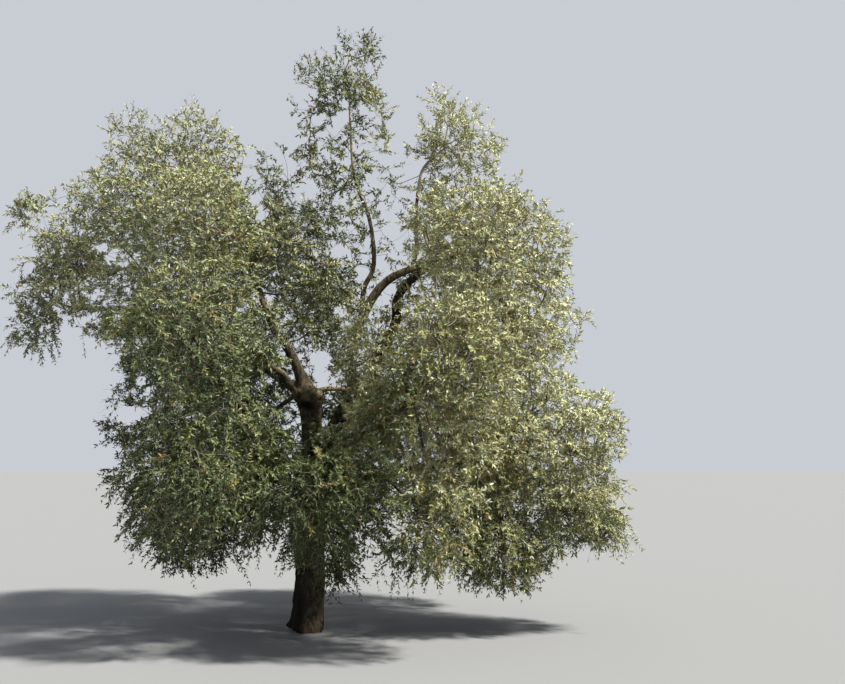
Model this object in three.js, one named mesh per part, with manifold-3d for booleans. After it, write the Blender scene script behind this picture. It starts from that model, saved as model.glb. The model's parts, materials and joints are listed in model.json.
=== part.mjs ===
// An old olive tree, about 6.1 m tall and 6.3 m wide, with its skirt of foliage hanging nearly to the ground.
// One short leaning trunk divides into a left and a right bough, and lesser boughs carry the low foliage.
// Millimetres, +Z up. The origin is the middle of the flat cut under the trunk, at ground level.
// -Y is the side that the tree is usually looked at from, and +X is to the right of it.
import * as THREE from 'three';
import { mergeVertices } from 'three/addons/utils/BufferGeometryUtils.js';
import Module from 'manifold-3d';

const wasm = await Module();
wasm.setup();

// The clearance between pieces that touch, and how far a cut surface may be evened out.
const GAP = 0.5;
const EVEN_OUT = 0.1;
const SAME_CORNER = 1e-4;

// The trunk.
const TRUNK_HEIGHT = 1500;
const TRUNK_GIRTH_RADIUS = 146;
const TRUNK_TOP_RADIUS = 120;
const TRUNK_SIDES = 14;
const TRUNK_STEPS = 8;
const LOWEST_RING_SHARE = 0.35;
const ROOT_FLARE = 28;
const ROOT_FLARE_HEIGHT = 170;
const ROOT_LOBES = 5;
const ROOT_LOBE_DEPTH = 0.09;
const ROOT_LOBE_TURN = 0.6;
const FLUTES = 3;
const FLUTE_DEPTH = 0.03;
const FLUTE_TWIST = 2.2;
const TRUNK_LEAN = 45;
const LEAN_HEIGHT = 500;

// The boughs.
const THICK_LIMB = 60;
const THICK_LIMB_SIDES = 8;
const THIN_LIMB_SIDES = 6;
const STEP_LENGTH = 300;
const FEWEST_STEPS = 4;

// The foliage.
const SMALL_MASS = 530;
const SMALL_MASS_DETAIL = 1;
const LARGE_MASS_DETAIL = 2;
const LUMP = 0.11;
const LUMP_WAVES = 5;
const FEWEST_WAVES_ROUND = 3;
const LUMP_FADE = 0.4;
const SEED_TURN = 12.9;
const WAVE_TURN = 78.2;
const HANG_UNEVEN = 0.5;
const HANG_SEED = 40;
const LEAST_SHARE_KEPT = 0.1;
const SLIVER_VOLUME = 1000;

const barkMaterial = new THREE.MeshStandardMaterial({ color: 0x4b4238, roughness: 0.95, metalness: 0 });
const leafMaterial = new THREE.MeshStandardMaterial({ color: 0x6d7a4e, roughness: 0.75, metalness: 0 });

// A limb's path runs from inside its parent to inside the mass of foliage that it ends in.
// Each stop on the path is x, y, z and the limb's radius there.
const limbs = [
  {
    name: 'left_bough',
    into: 'foliage_left_inner',
    path: [[45, 0, 1380, 90], [50, 0, 1640, 97], [42, -5, 1950, 98], [15, -15, 2240, 116], [-75, -40, 2490, 60],
      [-170, -50, 2700, 47], [-340, -40, 2950, 38], [-450, -10, 3190, 34], [-560, 40, 3500, 28]],
  },
  {
    name: 'right_bough',
    into: 'foliage_right_upper',
    path: [[60, 0, 1400, 70], [150, 20, 1700, 88], [360, 50, 2140, 84], [500, 70, 2350, 77], [710, 100, 2710, 60],
      [870, 110, 3050, 50], [880, 100, 3270, 46], [990, 80, 3440, 42], [1120, 60, 3550, 38], [1480, 20, 3800, 32]],
  },
  {
    name: 'arch_bough',
    into: 'foliage_right_upper',
    path: [[450, 60, 2270, 50], [425, -40, 2590, 54], [480, -110, 2880, 50], [600, -130, 3180, 46],
      [730, -140, 3370, 43], [840, -150, 3460, 40], [1050, -150, 3550, 34], [1450, -140, 3680, 28]],
  },
  {
    name: 'left_fork',
    into: 'foliage_left_mid',
    path: [[-20, -20, 2300, 44], [-154, -50, 2385, 37], [-256, -70, 2505, 31], [-375, -80, 2590, 28],
      [-700, -60, 2860, 23]],
  },
  {
    name: 'left_snag',
    into: 'foliage_behind_left',
    path: [[-10, 0, 2260, 34], [-130, 20, 2280, 25], [-235, 60, 2225, 21], [-440, 300, 2120, 17]],
  },
  {
    name: 'cross_limb',
    into: 'foliage_behind_right',
    path: [[20, -40, 2310, 34], [96, -60, 2335, 27], [216, -70, 2355, 24], [357, -60, 2348, 22],
      [470, -60, 2350, 20], [640, 0, 2400, 18]],
  },
  {
    name: 'centre_leader',
    into: 'foliage_column_middle',
    path: [[482, -110, 2880, 36], [530, -90, 3110, 30], [560, -70, 3385, 27], [630, -60, 3520, 25],
      [650, -50, 3640, 24], [640, -40, 3850, 22], [590, -30, 4120, 20], [450, 0, 4500, 17]],
  },
  {
    name: 'right_leader',
    into: 'foliage_right_top',
    path: [[1040, -150, 3540, 26], [1078, -140, 3730, 21], [1075, -120, 4080, 18], [1100, -100, 4390, 16],
      [1150, -80, 4600, 14], [1400, -20, 4850, 11]],
  },
  {
    name: 'low_left_bough',
    into: 'foliage_left_low',
    path: [[20, 0, 1330, 50], [-200, -60, 1440, 46], [-560, -120, 1520, 40], [-1000, -150, 1640, 30]],
  },
  {
    name: 'low_right_bough',
    into: 'foliage_right_low',
    path: [[60, 0, 1300, 50], [330, -40, 1420, 46], [800, -80, 1520, 40], [1500, -50, 1650, 30]],
  },
  {
    name: 'front_low_bough',
    into: 'foliage_front_skirt',
    path: [[40, 0, 1200, 44], [90, -230, 1330, 40], [190, -600, 1400, 34], [290, -1150, 1360, 26]],
  },
  {
    name: 'back_low_bough',
    into: 'foliage_back_low',
    path: [[40, 0, 1250, 46], [60, 260, 1400, 42], [100, 700, 1540, 36], [160, 1450, 1600, 28]],
  },
  {
    name: 'front_left_bough',
    into: 'foliage_front_left',
    path: [[40, 0, 1330, 46], [-60, -240, 1520, 42], [-300, -640, 1830, 36], [-620, -1220, 2330, 26]],
  },
  {
    name: 'front_right_bough',
    into: 'foliage_front_right',
    path: [[110, 10, 1480, 48], [230, -220, 1620, 44], [560, -620, 1860, 37], [1060, -1200, 2200, 26]],
  },
  {
    name: 'back_left_bough',
    into: 'foliage_back_left',
    path: [[30, 0, 2080, 48], [-70, 250, 2270, 44], [-350, 650, 2480, 38], [-850, 1250, 2780, 28]],
  },
  {
    name: 'back_right_bough',
    into: 'foliage_back_right',
    path: [[380, 50, 2150, 50], [520, 330, 2230, 46], [820, 700, 2350, 38], [1250, 1300, 2500, 28]],
  },
];

// Each mass of foliage has its middle, its half sizes along x, y and z, and how far its underside hangs.
const masses = [
  // The left of the crown, from its top down.
  { name: 'left_top', at: [-1410, 200, 4820], half: [720, 700, 470], hang: 0 },
  { name: 'left_upper', at: [-1620, 0, 4130], half: [960, 900, 540], hang: 0 },
  { name: 'left_inner', at: [-500, 100, 3920], half: [400, 560, 620], hang: 0 },
  { name: 'left_sprig', at: [-420, 100, 4640], half: [310, 250, 230], hang: 0 },
  { name: 'left_arm_high', at: [-2640, -50, 3860], half: [370, 330, 280], hang: 0 },
  { name: 'left_arm_low', at: [-2650, 50, 3330], half: [440, 360, 310], hang: 50 },
  { name: 'left_mid', at: [-1480, 0, 3230], half: [900, 900, 560], hang: 0 },
  { name: 'left_low', at: [-1380, 50, 2180], half: [720, 880, 680], hang: 100 },
  { name: 'left_skirt', at: [-1230, 100, 1170], half: [640, 820, 520], hang: 200 },
  { name: 'left_skirt_inner', at: [-440, -350, 1260], half: [360, 420, 500], hang: 100 },
  // The column in the middle and the tip of the tree.
  { name: 'tip', at: [430, 0, 5810], half: [250, 280, 320], hang: 0 },
  { name: 'tip_left', at: [-50, 20, 5510], half: [235, 260, 340], hang: 0 },
  { name: 'tip_middle', at: [370, 40, 5370], half: [410, 350, 325], hang: 0 },
  { name: 'column_front', at: [660, -370, 2740], half: [300, 400, 500], hang: 0 },
  { name: 'column_middle', at: [290, 0, 4620], half: [450, 500, 560], hang: 0 },
  { name: 'column_right', at: [790, 0, 4380], half: [270, 300, 760], hang: 0 },
  { name: 'column_low', at: [140, 250, 3640], half: [440, 600, 560], hang: 0 },
  // The right of the crown, from its top down.
  { name: 'right_top', at: [1510, -50, 4830], half: [440, 560, 530], hang: 0 },
  { name: 'right_upper', at: [1740, 0, 3960], half: [640, 860, 590], hang: 0 },
  { name: 'right_outer', at: [2310, 50, 3690], half: [410, 620, 550], hang: 60 },
  { name: 'right_tip', at: [2560, 0, 3050], half: [280, 270, 170], hang: 50 },
  { name: 'right_mid', at: [1930, 60, 2820], half: [780, 920, 640], hang: 0 },
  { name: 'right_low', at: [1900, 30, 1830], half: [700, 880, 620], hang: 0 },
  { name: 'right_far', at: [2770, 0, 1890], half: [410, 640, 520], hang: 60 },
  { name: 'right_far_low', at: [2720, 0, 1080], half: [450, 560, 320], hang: 60 },
  { name: 'right_skirt', at: [1900, 30, 860], half: [540, 760, 460], hang: 150 },
  // What stands behind the fork and leaves the sky open above the cross limb.
  { name: 'behind_left', at: [-560, 620, 2280], half: [400, 420, 560], hang: 0 },
  { name: 'behind_right', at: [880, 480, 2420], half: [420, 420, 560], hang: 0 },
  // The side towards the viewer.
  { name: 'front_left', at: [-890, -1480, 2720], half: [660, 680, 640], hang: 50 },
  { name: 'front_left_high', at: [-950, -1000, 3860], half: [640, 660, 580], hang: 0 },
  { name: 'front_left_skirt', at: [-880, -1400, 1470], half: [600, 600, 640], hang: 180 },
  { name: 'front_skirt', at: [340, -1420, 1290], half: [530, 500, 560], hang: 100 },
  { name: 'front_right', at: [1410, -1480, 2480], half: [660, 680, 660], hang: 50 },
  { name: 'front_right_high', at: [1520, -1020, 3680], half: [600, 640, 600], hang: 0 },
  { name: 'front_right_skirt', at: [1240, -1370, 1340], half: [540, 600, 580], hang: 140 },
  // The side away from the viewer.
  { name: 'back_left', at: [-1200, 1540, 2950], half: [800, 820, 680], hang: 50 },
  { name: 'back_left_skirt', at: [-1080, 1500, 1600], half: [720, 740, 680], hang: 160 },
  { name: 'back_left_high', at: [-750, 1150, 4050], half: [620, 700, 560], hang: 0 },
  { name: 'back_middle', at: [-80, 1500, 3480], half: [460, 640, 480], hang: 0 },
  { name: 'back_low', at: [230, 1980, 1560], half: [640, 680, 600], hang: 160 },
  { name: 'back_right', at: [1560, 1540, 2650], half: [800, 820, 700], hang: 50 },
  { name: 'back_right_skirt', at: [1560, 1460, 1440], half: [700, 720, 620], hang: 160 },
  { name: 'back_right_high', at: [1740, 1200, 3850], half: [640, 680, 600], hang: 0 },
];

// The closed solid of a reshaped geometry, whose ends may now have corners in one place.
function solidFrom(geometry) {
  const merged = mergeVertices(geometry, SAME_CORNER);
  return new wasm.Manifold(new wasm.Mesh({
    numProp: 3,
    vertProperties: merged.attributes.position.array,
    triVerts: new Uint32Array(merged.index.array),
  }));
}

// Makes a geometry's shared corners one, and moves each corner to where the rule sends it.
function reshape(geometry, rule) {
  geometry.deleteAttribute('normal');
  geometry.deleteAttribute('uv');
  const merged = mergeVertices(geometry, SAME_CORNER);
  const corners = merged.attributes.position;
  const point = new THREE.Vector3();
  for (let i = 0; i < corners.count; i += 1) {
    point.fromBufferAttribute(corners, i);
    rule(point);
    corners.setXYZ(i, point.x, point.y, point.z);
  }
  return merged;
}

// The trunk has level rings that grow at the foot into the root flare and its lobes.
function trunkSolid(grow) {
  const tube = new THREE.CylinderGeometry(1, 1, 1, TRUNK_SIDES, TRUNK_STEPS);
  return solidFrom(reshape(tube, (point) => {
    const share = point.y + 0.5;
    const height = TRUNK_HEIGHT * share * THREE.MathUtils.lerp(LOWEST_RING_SHARE, 1, share);
    const angle = Math.atan2(point.z, point.x);
    const foot = Math.exp(-height / ROOT_FLARE_HEIGHT);
    const taper = THREE.MathUtils.lerp(TRUNK_GIRTH_RADIUS, TRUNK_TOP_RADIUS, share);
    const lobes = 1 + ROOT_LOBE_DEPTH * foot * Math.sin(ROOT_LOBES * angle + ROOT_LOBE_TURN);
    const flutes = 1 + FLUTE_DEPTH * Math.sin(FLUTES * angle + FLUTE_TWIST * share);
    const radius = ((taper + ROOT_FLARE * foot) * lobes * flutes + grow) * Math.hypot(point.x, point.z);
    const lean = TRUNK_LEAN * Math.sin(Math.min(1, height / LEAN_HEIGHT) * Math.PI / 2);
    point.set(lean + radius * Math.cos(angle), -radius * Math.sin(angle), height);
  }));
}

// A limb is a round tube that tapers along its path.
function limbSolid(limb, grow) {
  const stops = limb.path.map(([x, y, z]) => new THREE.Vector3(x, y, z));
  const curve = new THREE.CatmullRomCurve3(stops, false, 'centripetal');
  const steps = Math.max(FEWEST_STEPS, Math.round(curve.getLength() / STEP_LENGTH));
  const frames = curve.computeFrenetFrames(steps, false);
  const sides = limb.path[0][3] > THICK_LIMB ? THICK_LIMB_SIDES : THIN_LIMB_SIDES;
  const tube = new THREE.CylinderGeometry(1, 1, 1, sides, steps);
  return solidFrom(reshape(tube, (point) => {
    const step = Math.round((point.y + 0.5) * steps);
    const share = curve.getUtoTmapping(step / steps) * (stops.length - 1);
    const stop = Math.min(Math.floor(share), stops.length - 2);
    const radius = THREE.MathUtils.lerp(limb.path[stop][3], limb.path[stop + 1][3], share - stop) + grow;
    const across = frames.normals[step].clone().multiplyScalar(point.x * radius);
    const along = frames.binormals[step].clone().multiplyScalar(point.z * radius);
    const ends = frames.tangents[step].clone().multiplyScalar(step === 0 ? -grow : step === steps ? grow : 0);
    point.copy(curve.getPointAt(step / steps)).sub(across).add(along).add(ends);
  }));
}

// Smooth lumps over a ball of directions, the same ones each time for the same seed.
function lumps(direction, seed) {
  let height = 0;
  for (let wave = 0; wave < LUMP_WAVES; wave += 1) {
    const turn = seed * SEED_TURN + wave * WAVE_TURN;
    const axis = new THREE.Vector3(Math.sin(turn), Math.sin(turn * 1.7 + 1), Math.sin(turn * 2.3 + 2));
    const across = axis.normalize().dot(direction) * (FEWEST_WAVES_ROUND + wave);
    height += Math.sin(across + turn) / (1 + LUMP_FADE * wave);
  }
  return height / 2;
}

// A mass of foliage is an uneven ball, and its underside hangs in tatters where it is part of the skirt.
function massSolid(mass, seed, grow) {
  const [halfX, halfY, halfZ] = mass.half;
  const small = (halfX + halfY + halfZ) / 3 < SMALL_MASS;
  const ball = new THREE.IcosahedronGeometry(1, small ? SMALL_MASS_DETAIL : LARGE_MASS_DETAIL);
  return solidFrom(reshape(ball, (point) => {
    const direction = point.clone().normalize();
    const reach = 1 + LUMP * lumps(direction, seed);
    const under = Math.max(0, -direction.z);
    const hang = mass.hang * under * (1 + HANG_UNEVEN * lumps(direction, seed + HANG_SEED));
    point.set(direction.x * halfX, direction.y * halfY, direction.z * halfZ).multiplyScalar(reach);
    point.z -= hang;
    point.addScaledVector(direction, grow);
    point.add(new THREE.Vector3(...mass.at));
  }));
}

// Where two masses meet, both are cut flat along the plane through the ring where their surfaces cross.
// The plane is given by its normal, from the first mass to the second, and by its distance from the origin.
function meetingPlane(first, second) {
  const from = new THREE.Vector3(...first.at);
  const apart = new THREE.Vector3(...second.at).sub(from);
  const share = (mass) => 1 / apart.clone().divide(new THREE.Vector3(...mass.half)).length();
  const level = (1 + share(first) ** 2 - share(second) ** 2) / 2;
  const along = THREE.MathUtils.clamp(level, LEAST_SHARE_KEPT, 1 - LEAST_SHARE_KEPT);
  const middle = new THREE.Vector3(...first.half).add(new THREE.Vector3(...second.half)).divideScalar(2);
  const normal = apart.clone().divide(middle).divide(middle).normalize();
  return { normal, distance: normal.dot(from.addScaledVector(apart, along)) };
}

// The largest body of a solid, without the slivers that a cut leaves.
function largest(solid) {
  const bodies = solid.decompose();
  return bodies.reduce((best, body) => (body.volume() > best.volume() ? body : best));
}

// The body of a solid that lies nearest to a point, by its box.
function nearest(solid, [x, y, z]) {
  const here = new THREE.Vector3(x, y, z);
  const far = (body) => {
    const { min, max } = body.boundingBox();
    return new THREE.Box3(new THREE.Vector3(...min), new THREE.Vector3(...max)).distanceToPoint(here);
  };
  const bodies = solid.decompose().filter((body) => body.volume() > SLIVER_VOLUME);
  return bodies.reduce((best, body) => (far(body) < far(best) ? body : best));
}

function meshOf(name, solid, material) {
  const { vertProperties, triVerts, numProp } = solid.simplify(EVEN_OUT).getMesh();
  const corners = new Float32Array((vertProperties.length / numProp) * 3);
  for (let i = 0; i < corners.length / 3; i += 1) {
    corners.set(vertProperties.subarray(i * numProp, i * numProp + 3), i * 3);
  }
  const geometry = new THREE.BufferGeometry();
  geometry.setAttribute('position', new THREE.BufferAttribute(corners, 3));
  geometry.setIndex(new THREE.BufferAttribute(new Uint32Array(triVerts), 1));
  geometry.computeVertexNormals();
  const mesh = new THREE.Mesh(geometry, material);
  mesh.name = name;
  return mesh;
}

// All the masses, parted from each other and then grown. Those that don't grow keep half the gap on each side.
function partedMasses(grow) {
  const whole = masses.map((mass, seed) => massSolid(mass, seed, 0));
  const parted = masses.map((mass, seed) => massSolid(mass, seed, grow));
  for (let i = 0; i < masses.length; i += 1) {
    for (let j = i + 1; j < masses.length; j += 1) {
      if (whole[i].intersect(whole[j]).volume() > 0) {
        const { normal, distance } = meetingPlane(masses[i], masses[j]);
        parted[j] = parted[j].trimByPlane(normal.toArray(), distance + GAP / 2 - grow);
        parted[i] = parted[i].trimByPlane(normal.negate().toArray(), GAP / 2 - grow - distance);
      }
    }
  }
  return parted;
}

const partedFoliage = partedMasses(0);
const grownFoliage = partedMasses(GAP);
const foliage = new Map(masses.map((mass, i) => [`foliage_${mass.name}`, partedFoliage[i]]));

// Each limb grows out of the wood before it and ends at the mass that it enters.
const wood = new Map([['trunk', trunkSolid(0)]]);
const grownWood = [trunkSolid(GAP)];
for (const limb of limbs) {
  const goal = masses.findIndex((mass) => `foliage_${mass.name}` === limb.into);
  let solid = limbSolid(limb, 0);
  for (const earlier of grownWood) solid = solid.subtract(earlier);
  solid = solid.subtract(grownFoliage[goal]);
  wood.set(limb.name, nearest(solid, limb.path[1]));
  grownWood.push(limbSolid(limb, GAP));
}

// The masses are cut round the wood that passes them.
for (const [name, solid] of foliage) {
  let cut = solid;
  cut = cut.subtract(grownWood[0]);
  limbs.forEach((limb, i) => {
    if (limb.into !== name) cut = cut.subtract(grownWood[i + 1]);
  });
  foliage.set(name, largest(cut));
}

const tree = new THREE.Group();
for (const [name, solid] of wood) tree.add(meshOf(name, solid, barkMaterial));
for (const [name, solid] of foliage) tree.add(meshOf(name, solid, leafMaterial));

export default tree;
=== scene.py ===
"""An old olive tree in leaf: bark over its packed trunk and boughs, and branches, shoots and leaves that grow
on from them through its packed masses of foliage. Metres, from an origin under the trunk at ground level."""
import json
import math

import bpy
import numpy as np
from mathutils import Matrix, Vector
from mathutils.bvhtree import BVHTree

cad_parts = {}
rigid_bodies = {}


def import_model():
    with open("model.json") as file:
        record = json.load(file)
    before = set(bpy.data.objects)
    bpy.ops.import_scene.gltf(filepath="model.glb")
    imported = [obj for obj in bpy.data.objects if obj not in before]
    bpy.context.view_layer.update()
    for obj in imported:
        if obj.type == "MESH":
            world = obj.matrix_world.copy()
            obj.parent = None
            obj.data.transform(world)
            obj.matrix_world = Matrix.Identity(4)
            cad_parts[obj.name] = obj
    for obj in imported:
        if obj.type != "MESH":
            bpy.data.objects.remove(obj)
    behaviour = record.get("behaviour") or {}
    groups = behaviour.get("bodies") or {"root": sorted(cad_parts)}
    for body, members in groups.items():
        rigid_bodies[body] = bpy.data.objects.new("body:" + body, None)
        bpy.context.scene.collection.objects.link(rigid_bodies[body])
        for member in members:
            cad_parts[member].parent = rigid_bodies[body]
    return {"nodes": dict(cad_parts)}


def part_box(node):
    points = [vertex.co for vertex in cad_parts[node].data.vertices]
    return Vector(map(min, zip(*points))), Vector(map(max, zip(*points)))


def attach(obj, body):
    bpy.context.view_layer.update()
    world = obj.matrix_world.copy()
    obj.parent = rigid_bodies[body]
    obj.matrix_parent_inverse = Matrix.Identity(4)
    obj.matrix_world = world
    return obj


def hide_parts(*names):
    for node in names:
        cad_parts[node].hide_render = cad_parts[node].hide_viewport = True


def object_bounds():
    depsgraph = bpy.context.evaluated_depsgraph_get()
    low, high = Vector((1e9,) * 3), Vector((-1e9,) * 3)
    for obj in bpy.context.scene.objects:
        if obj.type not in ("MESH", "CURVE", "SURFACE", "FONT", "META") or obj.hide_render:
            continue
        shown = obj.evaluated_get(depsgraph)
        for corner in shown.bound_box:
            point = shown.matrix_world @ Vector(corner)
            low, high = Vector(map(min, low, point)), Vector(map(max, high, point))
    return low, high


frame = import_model()
cad_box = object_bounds()
draw = np.random.default_rng(1907)
UP = np.array([0.0, 0.0, 1.0])

# The view
FRAME_WIDE, FRAME_HIGH = 845, 684
SENSOR_MM = 36.0
FOCAL_PX = 1000.0
EYE = np.array([1.14, -9.98, 1.70])
EYE_PITCH = math.radians(6.45)
FARTHEST_SEEN = 200


def seen_at(places):
    """Where places show in the picture, in its pixels."""
    out = places - EYE
    ahead = out[:, 1] * math.cos(EYE_PITCH) + out[:, 2] * math.sin(EYE_PITCH)
    rise = out[:, 2] * math.cos(EYE_PITCH) - out[:, 1] * math.sin(EYE_PITCH)
    across = FRAME_WIDE / 2 + FOCAL_PX * out[:, 0] / ahead
    down = FRAME_HIGH / 2 - FOCAL_PX * rise / ahead
    return np.stack([across, down], axis=1)


def make_camera():
    data = bpy.data.cameras.new("camera")
    data.sensor_width = SENSOR_MM
    data.lens = SENSOR_MM * FOCAL_PX / FRAME_WIDE
    data.clip_end = FARTHEST_SEEN
    camera = bpy.data.objects.new("camera", data)
    camera.location = EYE
    camera.rotation_euler = (math.pi / 2 + EYE_PITCH, 0, 0)
    bpy.context.collection.objects.link(camera)
    bpy.context.scene.camera = camera


# Small tools on arrays of places
NEXT_TO_NOTHING = 1e-9
# Large odd numbers that scatter a place on the noise's grid, its seed and the mixture of the two.
SCATTER_X, SCATTER_Y, SCATTER_Z = 73856093, 19349663, 83492791
SCATTER_SEED, SCATTER_AGAIN = 2654435761, 1274126177
LARGEST_KEPT = 0xFFFF
# How many points a curve has from one of its stops to the next before they are spaced evenly.
POINTS_BETWEEN_STOPS = 30


def unit(vectors):
    return vectors / np.maximum(np.linalg.norm(vectors, axis=-1, keepdims=True), NEXT_TO_NOTHING)


def lattice_noise(places, seed):
    """Smooth noise from -1 to 1 with features about one unit across."""
    cell = np.floor(places).astype(np.int64)
    part = places - cell
    ease = part * part * (3 - 2 * part)
    total = np.zeros(len(places))
    for corner in np.ndindex(2, 2, 2):
        x, y, z = (cell + np.array(corner)).T
        mixed = x * SCATTER_X ^ y * SCATTER_Y ^ z * SCATTER_Z ^ (seed * SCATTER_SEED)
        mixed = (mixed ^ (mixed >> 13)) * SCATTER_AGAIN
        value = ((mixed ^ (mixed >> 16)) & LARGEST_KEPT) / (LARGEST_KEPT / 2) - 1
        total += value * np.prod(np.where(corner, ease, 1 - ease), axis=1)
    return total


def smooth_path(stops, spacing):
    """Even points along a centripetal Catmull-Rom curve through stops of x, y, z and thickness."""
    stops = np.asarray(stops, float)
    ends = np.vstack([2 * stops[0] - stops[1], stops, 2 * stops[-1] - stops[-2]])
    knots = np.concatenate([[0], np.cumsum(np.linalg.norm(np.diff(ends[:, :3], axis=0), axis=1) ** 0.5)])
    dense = []
    for i in range(1, len(ends) - 2):
        t = np.linspace(knots[i], knots[i + 1], POINTS_BETWEEN_STOPS, endpoint=False)[:, None]
        knot, blend = knots[i - 1:i + 3], ends[i - 1:i + 3]
        # Each level blends neighbours between the knots that lie so many places before and after.
        for low, high in ((0, 1), (0, 2), (1, 2)):
            blend = [(knot[k + high] - t) / (knot[k + high] - knot[k + low]) * blend[k]
                     + (t - knot[k + low]) / (knot[k + high] - knot[k + low]) * blend[k + 1]
                     for k in range(len(blend) - 1)]
        dense.append(blend[0])
    dense = np.vstack(dense + [ends[-2:-1]])
    run = np.concatenate([[0], np.cumsum(np.linalg.norm(np.diff(dense[:, :3], axis=0), axis=1))])
    count = max(3, int(round(run[-1] / spacing)) + 1)
    even = np.linspace(0, run[-1], count)
    return np.stack([np.interp(even, run, dense[:, k]) for k in range(dense.shape[1])], axis=1)


# The limbs, as the solids have them, in millimetres: x, y, z and radius at each stop
TRUNK_STOPS = [[0, 0, 0, 172], [16, 0, 60, 160], [30, 0, 180, 151], [40, 0, 330, 146], [45, 0, 520, 143],
               [45, 0, 800, 138], [45, 0, 1100, 131], [45, 0, 1300, 126], [45, 0, 1500, 122]]
LIMB_STOPS = {
    "left_bough": [[45, 0, 1380, 100], [50, 0, 1640, 100], [42, -5, 1950, 98], [15, -15, 2240, 116],
                   [-75, -40, 2490, 60], [-170, -50, 2700, 47], [-340, -40, 2950, 38],
                   [-450, -10, 3190, 34], [-560, 40, 3500, 28], [-640, 60, 3760, 20]],
    "right_bough": [[60, 0, 1400, 84], [150, 20, 1700, 88], [360, 50, 2140, 84], [500, 70, 2350, 77],
                    [710, 100, 2710, 60], [870, 110, 3050, 50], [880, 100, 3270, 46], [990, 80, 3440, 42],
                    [1120, 60, 3550, 38], [1480, 20, 3800, 30], [1720, 0, 4060, 20]],
    "arch_bough": [[450, 60, 2270, 50], [425, -40, 2590, 54], [480, -110, 2880, 50], [600, -130, 3180, 46],
                   [730, -140, 3370, 43], [840, -150, 3460, 40], [1050, -150, 3550, 34],
                   [1450, -140, 3680, 26], [1760, -160, 3740, 17]],
    "left_fork": [[-20, -20, 2300, 44], [-154, -50, 2385, 37], [-256, -70, 2505, 31], [-375, -80, 2590, 28],
                  [-700, -60, 2860, 23], [-1020, -40, 3070, 17]],
    "left_snag": [[-10, 0, 2260, 34], [-130, 20, 2280, 25], [-235, 60, 2225, 21], [-440, 300, 2120, 17]],
    "cross_limb": [[20, -40, 2310, 34], [96, -60, 2335, 27], [216, -70, 2355, 24], [357, -60, 2348, 22],
                   [470, -60, 2350, 20], [640, 0, 2400, 18]],
    "centre_leader": [[482, -110, 2880, 36], [530, -90, 3110, 30], [560, -70, 3385, 27],
                      [630, -60, 3520, 25], [650, -50, 3640, 24], [640, -40, 3850, 22],
                      [590, -30, 4120, 20], [450, 0, 4500, 17], [400, 10, 5000, 13], [380, 10, 5500, 9]],
    "right_leader": [[1040, -150, 3540, 26], [1078, -140, 3730, 21], [1075, -120, 4080, 18],
                     [1100, -100, 4390, 16], [1150, -80, 4600, 14], [1400, -20, 4850, 11]],
    "low_left_bough": [[20, 0, 1330, 50], [-200, -60, 1440, 46], [-560, -120, 1520, 40],
                       [-1000, -150, 1640, 30], [-1350, -100, 1780, 20]],
    "low_right_bough": [[60, 0, 1300, 50], [330, -40, 1420, 46], [800, -80, 1520, 40],
                        [1500, -50, 1650, 30], [1950, -20, 1720, 20]],
    "front_low_bough": [[40, 0, 1200, 44], [90, -230, 1330, 40], [190, -600, 1400, 34],
                        [290, -1150, 1360, 26]],
    "back_low_bough": [[40, 0, 1250, 46], [60, 260, 1400, 42], [100, 700, 1540, 36], [160, 1450, 1600, 28],
                       [200, 1850, 1600, 18]],
    "front_left_bough": [[40, 0, 1330, 46], [-60, -240, 1520, 42], [-300, -640, 1830, 36],
                         [-620, -1220, 2330, 26], [-800, -1500, 2560, 18]],
    "front_right_bough": [[110, 10, 1480, 48], [230, -220, 1620, 44], [560, -620, 1860, 37],
                          [1060, -1200, 2200, 26], [1300, -1500, 2380, 18]],
    "back_left_bough": [[30, 0, 2080, 48], [-70, 250, 2270, 44], [-350, 650, 2480, 38],
                        [-850, 1250, 2780, 28], [-1080, 1520, 2900, 18]],
    "back_right_bough": [[380, 50, 2150, 50], [520, 330, 2230, 46], [820, 700, 2350, 38],
                         [1250, 1300, 2500, 28], [1450, 1520, 2600, 18]],
}

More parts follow.
